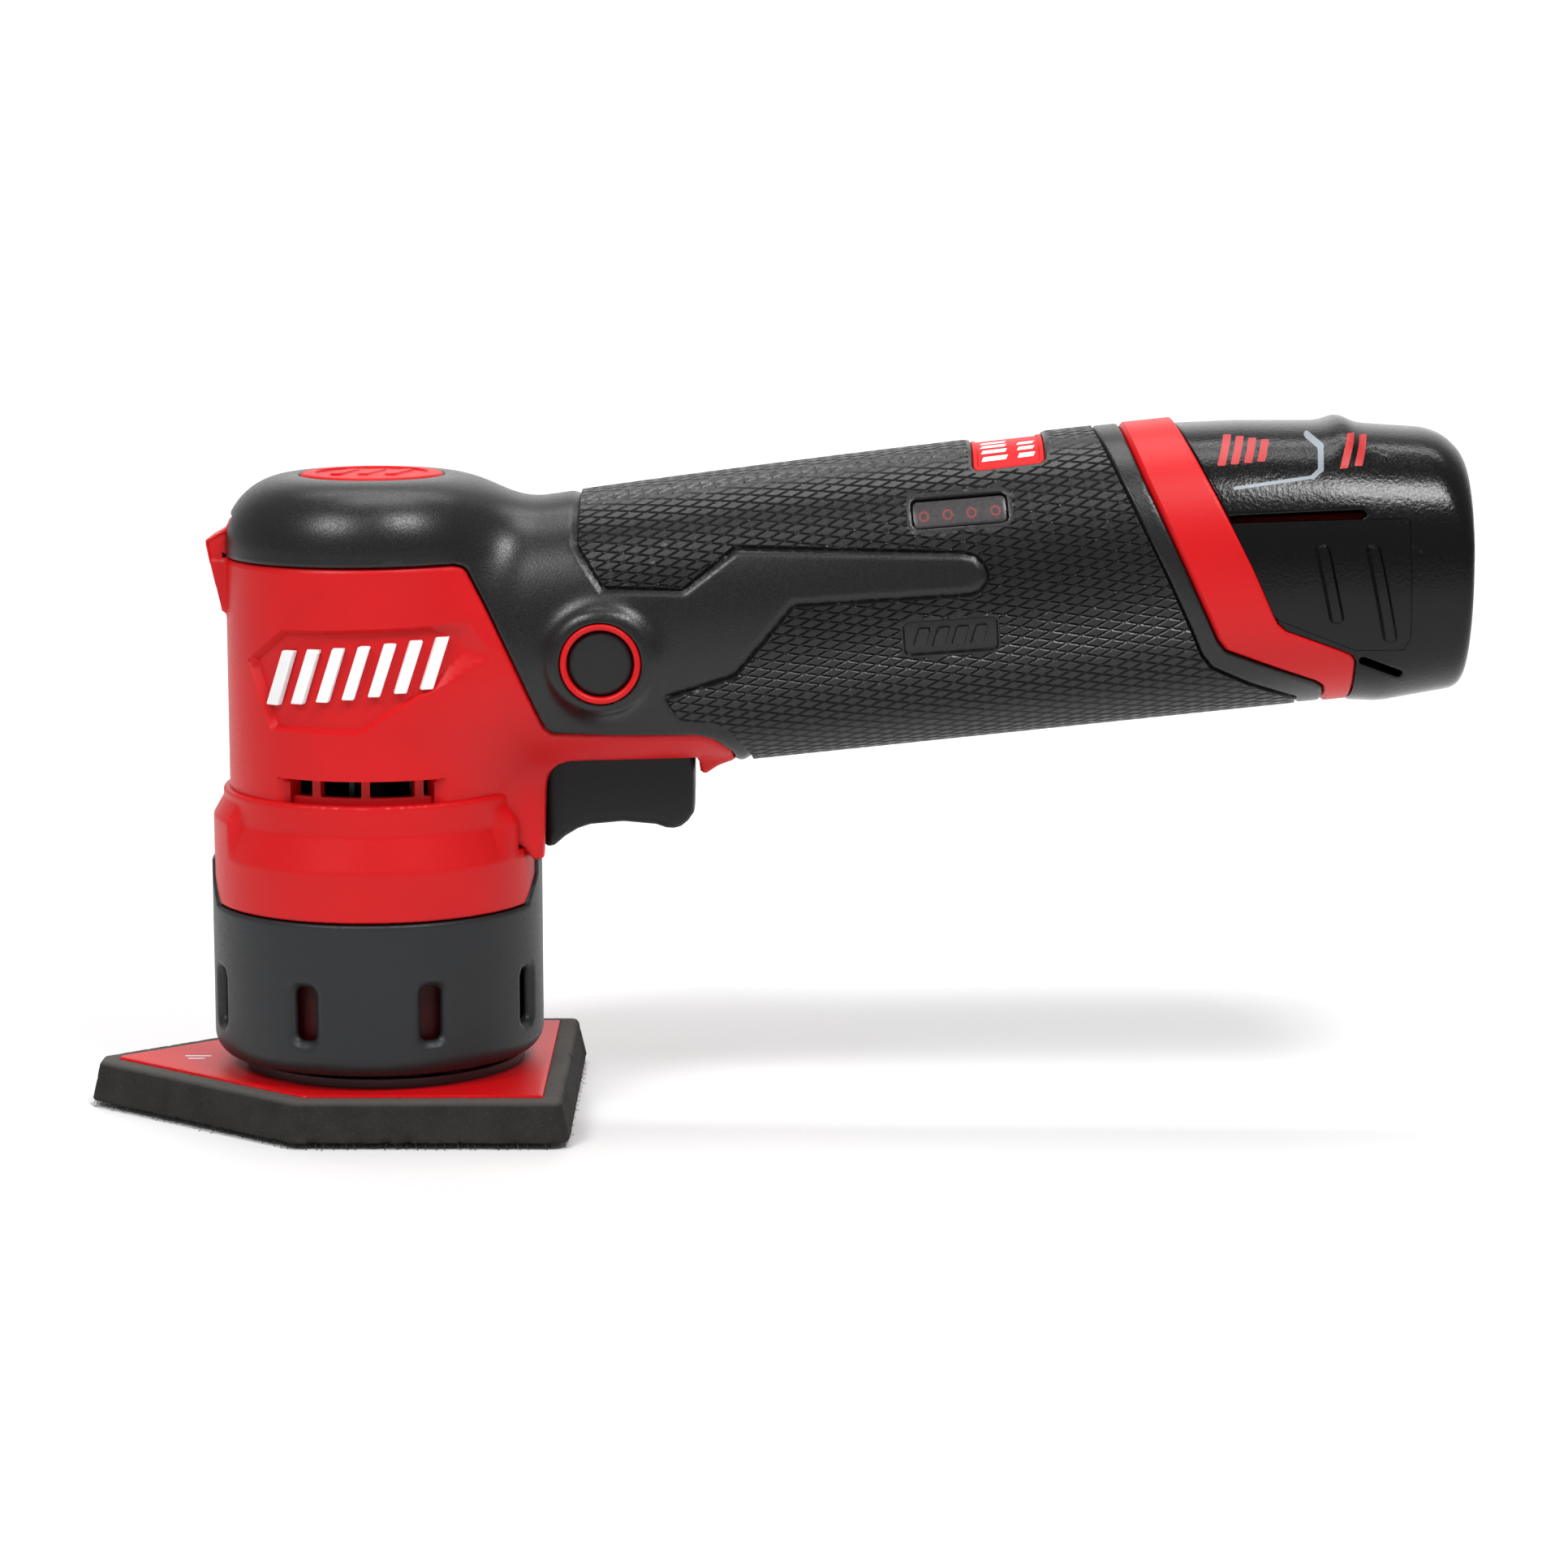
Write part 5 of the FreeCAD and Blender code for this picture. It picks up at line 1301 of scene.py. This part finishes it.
def hook_places(random):
    """Uneven rows of hooks over the whole face, clear of the screw holes."""
    x, y = np.meshgrid(np.arange(-55.8, 38.6, 1.9), np.arange(-37.6, 37.8, 1.9), indexing="ij")
    x[:, ::2] += 0.95
    place = np.column_stack([x.ravel(), y.ravel(), np.zeros(x.size)])
    place[:, :2] += random.uniform(-0.35, 0.35, (len(place), 2))
    return place[(pad_distance(place) < -0.35) & (hole_distance(place, 4.7) > 0)]


# One hook's bent wire: its x, z and radius from the tape to its tip.
HOOK_WIRE = ((0, 1.15, 0.10), (0.02, 0.55, 0.08), (0.12, 0.18, 0.07), (0.32, 0.05, 0.065),
             (0.52, 0.14, 0.06), (0.60, 0.36, 0.04))


def make_hooks(finish):
    """Base tape with a bent wire hook at every place."""
    def tape(p):
        side = smooth_max(pad_distance(p) + 0.15, p[:, 2] - HOOK_TOP, 0.1)
        return np.maximum(smooth_max(side, HOOK_FLOOR - p[:, 2], 0.1), -hole_distance(p, 4.2))

    base = surface(tape, (-57, -39, 0.7), (40, 39, 1.5), 0.8, 3)
    random = np.random.default_rng(21)
    places = hook_places(random)
    turn = random.uniform(0, 2 * math.pi, len(places))
    away = places[:, :2] - (-5.0, 0.0)
    edge = pad_distance(places) > -2.2
    turn[edge] = np.arctan2(away[edge, 1], away[edge, 0]) + random.uniform(-0.7, 0.7, edge.sum())
    lean = random.uniform(-0.25, 0.25, len(places)) + 0.35 * edge
    ring = np.linspace(0, 2 * math.pi, 4)[:3]
    points, sides, rings = [], len(ring), len(HOOK_WIRE)
    for (px, py, _), angle, tip in zip(places, turn, lean):
        c, s = math.cos(angle), math.sin(angle)
        for x, z, radius in HOOK_WIRE:
            along = x + tip * (HOOK_FLOOR + 0.1 - z)
            for a in ring:
                out, side = along + radius * math.cos(a), radius * math.sin(a)
                points.append((px + out * c - side * s, py + out * s + side * c, z))
    pattern = []
    for k in range(rings - 1):
        for m in range(sides):
            n = (m + 1) % sides
            pattern += [(k * sides + m, (k + 1) * sides + m, (k + 1) * sides + n),
                        (k * sides + m, (k + 1) * sides + n, k * sides + n)]
    pattern.append(tuple((rings - 1) * sides + m for m in (2, 1, 0)))
    pattern = np.array(pattern)
    faces = np.vstack([pattern + start * sides * rings for start in range(len(places))])
    points, faces = joined(base, (np.array(points), faces))
    make_object("hook_tape_skin", points, faces, finish, "pad", ("hook_layer",), "hook_tape", 60)


# ---------------------------------------------------------------- finishes

def graph(name):
    """A new material, its node tree and its shader."""
    material = bpy.data.materials.new(name)
    material.use_nodes = True
    tree = material.node_tree
    return material, tree, tree.nodes["Principled BSDF"]


def noise(tree, coords, size_mm, detail=3.0, roughness=0.5):
    """Noise whose lumps are about size_mm across, in the piece's own coordinates."""
    node = tree.nodes.new("ShaderNodeTexNoise")
    node.inputs["Scale"].default_value = 1 / (size_mm * MM)
    node.inputs["Detail"].default_value = detail
    node.inputs["Roughness"].default_value = roughness
    tree.links.new(coords, node.inputs["Vector"])
    return node.outputs["Fac"]


def spread(tree, source, low, high, start=0.35, end=0.65):
    """Turns start..end of a value into low..high; a noise mostly lies between 0.35 and 0.65."""
    node = tree.nodes.new("ShaderNodeMapRange")
    node.inputs["From Min"].default_value = start
    node.inputs["From Max"].default_value = end
    node.inputs["To Min"].default_value = low
    node.inputs["To Max"].default_value = high
    tree.links.new(source, node.inputs["Value"])
    return node.outputs["Result"]


def tint(tree, factor, first, second):
    """Mixes two colours; the first may be another node's output."""
    node = tree.nodes.new("ShaderNodeMix")
    node.data_type = "RGBA"
    tree.links.new(factor, node.inputs["Factor"])
    if isinstance(first, tuple):
        node.inputs["A"].default_value = (*first, 1)
    else:
        tree.links.new(first, node.inputs["A"])
    node.inputs["B"].default_value = (*second, 1)
    return node.outputs["Result"]


def scaled(colour, factor):
    """A lighter or darker colour."""
    return tuple(min(1.0, c * factor) for c in colour)


def finish_for(name, colour, rough, grain=0.35, bump=0.02, mottle=0.10, patch=14.0, metal=0.0,
               specular=0.5, speck=0.0, lumps=None, top=None):
    """Moulded or machined surface: mottled colour, uneven gloss and fine grain.

    grain and patch are sizes in millimetres, bump is the grain's height in millimetres,
    speck is the share of paler specks, and lumps is a second (size, height) of coarser
    unevenness, such as orange peel.
    top is (start, end, colour): the colour that takes over between two heights; on the foam this paler upper
    rim is partly the foam's own paler top skin and partly painted light falling from above.
    """
    material, tree, shader = graph(name)
    coords = tree.nodes.new("ShaderNodeTexCoord").outputs["Object"]
    broad = noise(tree, coords, patch, 2.0)
    fine = noise(tree, coords, grain, 2.0, 0.6)
    shade = tint(tree, spread(tree, broad, 0, 1), scaled(colour, 1 - mottle), scaled(colour, 1 + mottle))
    if speck:
        dots = noise(tree, coords, grain * 0.7, 1.0)
        shade = tint(tree, spread(tree, dots, 0, speck, 0.62, 0.72), shade, scaled(colour, 2.6))
    # Paler towards the top: partly the material's own tone, partly painted light from above.
    if top:
        start, end, paler_lit_top_colour = top
        height = tree.nodes.new("ShaderNodeSeparateXYZ")
        tree.links.new(coords, height.inputs["Vector"])
        share = spread(tree, height.outputs["Z"], 0, 1, start * MM, end * MM)
        shade = tint(tree, share, shade, paler_lit_top_colour)
    tree.links.new(shade, shader.inputs["Base Color"])
    tree.links.new(spread(tree, fine, rough - 0.05, rough + 0.07), shader.inputs["Roughness"])
    shader.inputs["Metallic"].default_value = metal
    shader.inputs["Specular IOR Level"].default_value = specular
    normal = None
    for size, height in [(grain, bump)] + ([lumps] if lumps else []):
        node = tree.nodes.new("ShaderNodeBump")
        node.inputs["Strength"].default_value = 1.0
        node.inputs["Distance"].default_value = height * MM
        tree.links.new(noise(tree, coords, size, 2.0, 0.55), node.inputs["Height"])
        if normal:
            tree.links.new(normal, node.inputs["Normal"])
        normal = node.outputs["Normal"]
    tree.links.new(normal, shader.inputs["Normal"])
    return material


RED = (0.54, 0.0030, 0.0052)
BLACK = (0.0052, 0.0054, 0.0058)

FINISHES = {
    "hook_tape": dict(colour=(0.035, 0.035, 0.037), rough=0.75, grain=0.5, bump=0.05, mottle=0.2),
    # The foam's paler top rim (top=...) is partly its own paler top skin and partly painted light falling on
    # it from above.
    "pad_foam": dict(colour=(0.021, 0.0198, 0.0185), rough=0.92, grain=0.45, bump=0.12, mottle=0.16,
                     patch=6, speck=0.5, specular=0.2, lumps=(1.3, 0.08),
                     top=(8.0, 8.9, (0.085, 0.078, 0.072))),
    "pad_plate_red": dict(colour=RED, specular=0.25, rough=0.42, grain=0.3, bump=0.006, mottle=0.05),
    "carrier_plastic": dict(colour=(0.03, 0.008, 0.010), rough=0.4),
    "screw_steel": dict(colour=(0.55, 0.55, 0.56), rough=0.32, metal=1.0, grain=0.2, bump=0.004),
    "bearing_steel": dict(colour=(0.62, 0.62, 0.63), rough=0.2, metal=1.0, bump=0.003),
    "shaft_steel": dict(colour=(0.58, 0.58, 0.60), rough=0.22, metal=1.0, bump=0.003),
    "cast_weight": dict(colour=(0.36, 0.36, 0.36), rough=0.5, metal=1.0, grain=0.5, bump=0.03),
    "fan_plastic": dict(colour=(0.02, 0.02, 0.022), rough=0.45),
    "rotor_steel": dict(colour=(0.3, 0.3, 0.31), rough=0.35, metal=1.0),
    "lamination_steel": dict(colour=(0.25, 0.25, 0.26), rough=0.4, metal=1.0, grain=0.3, bump=0.01),
    "copper_wire": dict(colour=(0.75, 0.28, 0.10), rough=0.3, metal=1.0, grain=0.4, bump=0.03),
    "cast_aluminium": dict(colour=(0.50, 0.50, 0.51), rough=0.45, metal=1.0, grain=0.6, bump=0.02),
    "soft_rubber": dict(colour=(0.02, 0.02, 0.02), rough=0.8),
    "circuit_board": dict(colour=(0.01, 0.11, 0.04), rough=0.4, grain=1.0, bump=0.02),
    "shroud_plastic": dict(colour=(0.0115, 0.0127, 0.0142), specular=0.38, rough=0.45, grain=0.4,
                           bump=0.010, mottle=0.06, patch=22, speck=0.12),
    "housing_red": dict(colour=RED, specular=0.28, rough=0.40, bump=0.010, mottle=0.035, patch=20),
    "badge_red": dict(colour=RED, specular=0.12, rough=0.42, grain=0.3, bump=0.006, mottle=0.05),
    "soft_overmold": dict(colour=BLACK, specular=0.42, rough=0.33, grain=0.42, bump=0.032, mottle=0.08,
                          patch=18),
    "smoked_lens": dict(colour=(0.020, 0.016, 0.017), rough=0.34, grain=0.3, bump=0.02, mottle=0.25,
                        patch=1.2, speck=0.4),
    "screw_black": dict(colour=(0.03, 0.03, 0.03), rough=0.35, metal=1.0, grain=0.25, bump=0.006),
    "trigger_black": dict(colour=(0.0065, 0.0067, 0.0072), specular=0.3, rough=0.5, grain=0.3,
                          bump=0.012, mottle=0.08),
    "spring_steel": dict(colour=(0.55, 0.55, 0.55), rough=0.25, metal=1.0, bump=0.003),
    "switch_plastic": dict(colour=(0.03, 0.03, 0.03), rough=0.5),
    "button_black": dict(colour=(0.0065, 0.0065, 0.0075), specular=0.4, rough=0.48, speck=0.25),
    "contact_brass": dict(colour=(0.75, 0.55, 0.22), rough=0.25, metal=1.0),
    "battery_gloss": dict(colour=(0.0018, 0.0018, 0.0021), rough=0.19, grain=0.4, bump=0.012, mottle=0.05,
                          specular=0.26, lumps=(0.7, 0.055)),
    "battery_core_red": dict(colour=(0.35, 0.008, 0.010), rough=0.4),
    "cell_wrap": dict(colour=(0.03, 0.10, 0.25), rough=0.35, grain=2.0, bump=0.01),
    "white_print": dict(colour=(0.80, 0.80, 0.80), rough=0.45, grain=0.3, bump=0.008, mottle=0.03),
    "grey_print": dict(colour=(0.20, 0.23, 0.26), rough=0.35, grain=0.3, bump=0.006, mottle=0.05),
    # Painted shade: the liner seen through the shroud's slots is a red made far darker than the housing red,
    # standing in for the shadow inside the shroud.
    "liner_red_painted_shade": dict(colour=(0.035, 0.0006, 0.001), specular=0.2, rough=0.5, grain=0.3, bump=0.006),
    "red_print": dict(colour=(0.42, 0.006, 0.008), rough=0.4, grain=0.3, bump=0.006, mottle=0.05),
    "lens_mark": dict(colour=(0.16, 0.012, 0.014), rough=0.4, grain=0.2, bump=0.004, mottle=0.05),
    "studio_floor": dict(colour=(0.80, 0.80, 0.80), rough=0.6, grain=2.0, bump=0.01, mottle=0.01, patch=300),
}


# ---------------------------------------------------------------- studio

CAMERA_AT = (78.9, -832.0, 203.3)
CAMERA_DOWN = math.radians(9.55)


def add_camera():
    """A 100 mm lens square on to the tool's left side, looking a little down."""
    data = bpy.data.cameras.new("camera")
    data.sensor_width = 36.0
    data.lens = 100.0
    data.clip_start = 0.05
    camera = bpy.data.objects.new("camera", data)
    camera.location = Vector(CAMERA_AT) * MM
    camera.rotation_euler = (math.pi / 2 - CAMERA_DOWN, 0, 0)
    bpy.context.scene.collection.objects.link(camera)
    bpy.context.scene.camera = camera


def add_light(name, at, target, size, power, shape=1.0):
    """An area light in metres and watts."""
    data = bpy.data.lights.new(name, "AREA")
    data.shape = "RECTANGLE"
    data.size = size
    data.size_y = size * shape
    data.energy = power
    lamp = bpy.data.objects.new(name, data)
    lamp.location = Vector(at)
    lamp.rotation_euler = (Vector(target) - Vector(at)).to_track_quat("-Z", "Y").to_euler()
    bpy.context.scene.collection.objects.link(lamp)


def add_studio(finish):
    """Pale floor that curves up behind, white surroundings and four lights."""
    mesh = bpy.data.meshes.new("floor")
    build = bmesh.new()
    depth = 1.6
    profile = [(-1.5, 0.0), (depth, 0.0)]
    profile += [(depth + 0.5 * math.sin(a), 0.5 - 0.5 * math.cos(a))
                for a in np.linspace(0.05, math.pi / 2, 30)]
    profile.append((depth + 0.5, 2.6))
    rows = [[build.verts.new((x, y, z)) for x in (-2.2, 2.4)] for y, z in profile]
    for low, high in zip(rows, rows[1:]):
        build.faces.new((low[0], low[1], high[1], high[0])).smooth = True
    build.to_mesh(mesh)
    build.free()
    mesh.materials.append(finish)
    floor = bpy.data.objects.new("floor", mesh)
    bpy.context.scene.collection.objects.link(floor)
    bpy.context.scene.view_settings.view_transform = "Standard"
    world = bpy.data.worlds.new("studio")
    world.use_nodes = True
    world.node_tree.nodes["Background"].inputs["Color"].default_value = (1, 1, 1, 1)
    world.node_tree.nodes["Background"].inputs["Strength"].default_value = 0.36
    bpy.context.scene.world = world
    middle = (0.07, 0.0, 0.08)
    add_light("key", (-0.42, -0.62, 0.85), middle, 0.32, 5.8)
    add_light("top", (0.05, 0.10, 1.0), middle, 0.5, 2.3, 0.5)
    add_light("right", (0.34, -0.42, 0.76), middle, 0.22, 4.2)
    add_light("backdrop_light", (0.10, 0.70, 1.5), (0.10, 2.1, 0.45), 1.4, 34.0, 0.5)


# ---------------------------------------------------------------- assembly

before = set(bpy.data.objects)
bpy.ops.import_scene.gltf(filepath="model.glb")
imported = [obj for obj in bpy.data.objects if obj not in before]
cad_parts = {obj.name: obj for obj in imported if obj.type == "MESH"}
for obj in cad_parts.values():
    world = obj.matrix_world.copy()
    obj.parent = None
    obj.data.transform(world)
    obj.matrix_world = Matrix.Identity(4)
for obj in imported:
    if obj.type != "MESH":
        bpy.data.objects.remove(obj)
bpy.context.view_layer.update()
finishes = {name: finish_for(name, **facts) for name, facts in FINISHES.items()}
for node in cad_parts.values():
    for place in node.material_slots:
        plain = place.material.name.split(".")[0]
        place.material = finishes[plain]

add_camera()
add_studio(finishes["studio_floor"])

base = half_body(1.1)
for name in SIDES:
    left = name == "left"
    points, faces = overmold_half(base, left)
    if not left:
        points, faces = mirrored(points, faces)
    make_object("soft_" + name, points, faces, finishes["soft_overmold"], "tool_body",
                ("overmold_" + name,), "soft_overmold")
    points, faces = housing(base, left)
    make_object("shell_" + name, points, faces, finishes["housing_red"], "tool_body",
                ("housing_" + name,), "housing_red", 32)
marks = recess_bars()
make_object("side_mark_left", *marks, finishes["white_print"], "tool_body")
make_object("side_mark_right", *mirrored(*marks), finishes["white_print"], "tool_body")
make_collar(finishes["housing_red"], finishes["liner_red_painted_shade"])
make_shroud(finishes["shroud_plastic"])
make_cap(finishes["badge_red"])
make_badge(base, finishes["badge_red"], finishes["white_print"])
make_lens(base, finishes["smoked_lens"], finishes["lens_mark"])
make_trigger(finishes["trigger_black"])
make_buttons(finishes["button_black"])
make_battery(finishes["battery_gloss"], finishes["grey_print"], finishes["red_print"])
make_foam(finishes["pad_foam"])
make_plate(finishes["pad_plate_red"], finishes["white_print"])
make_hooks(finishes["hook_tape"])
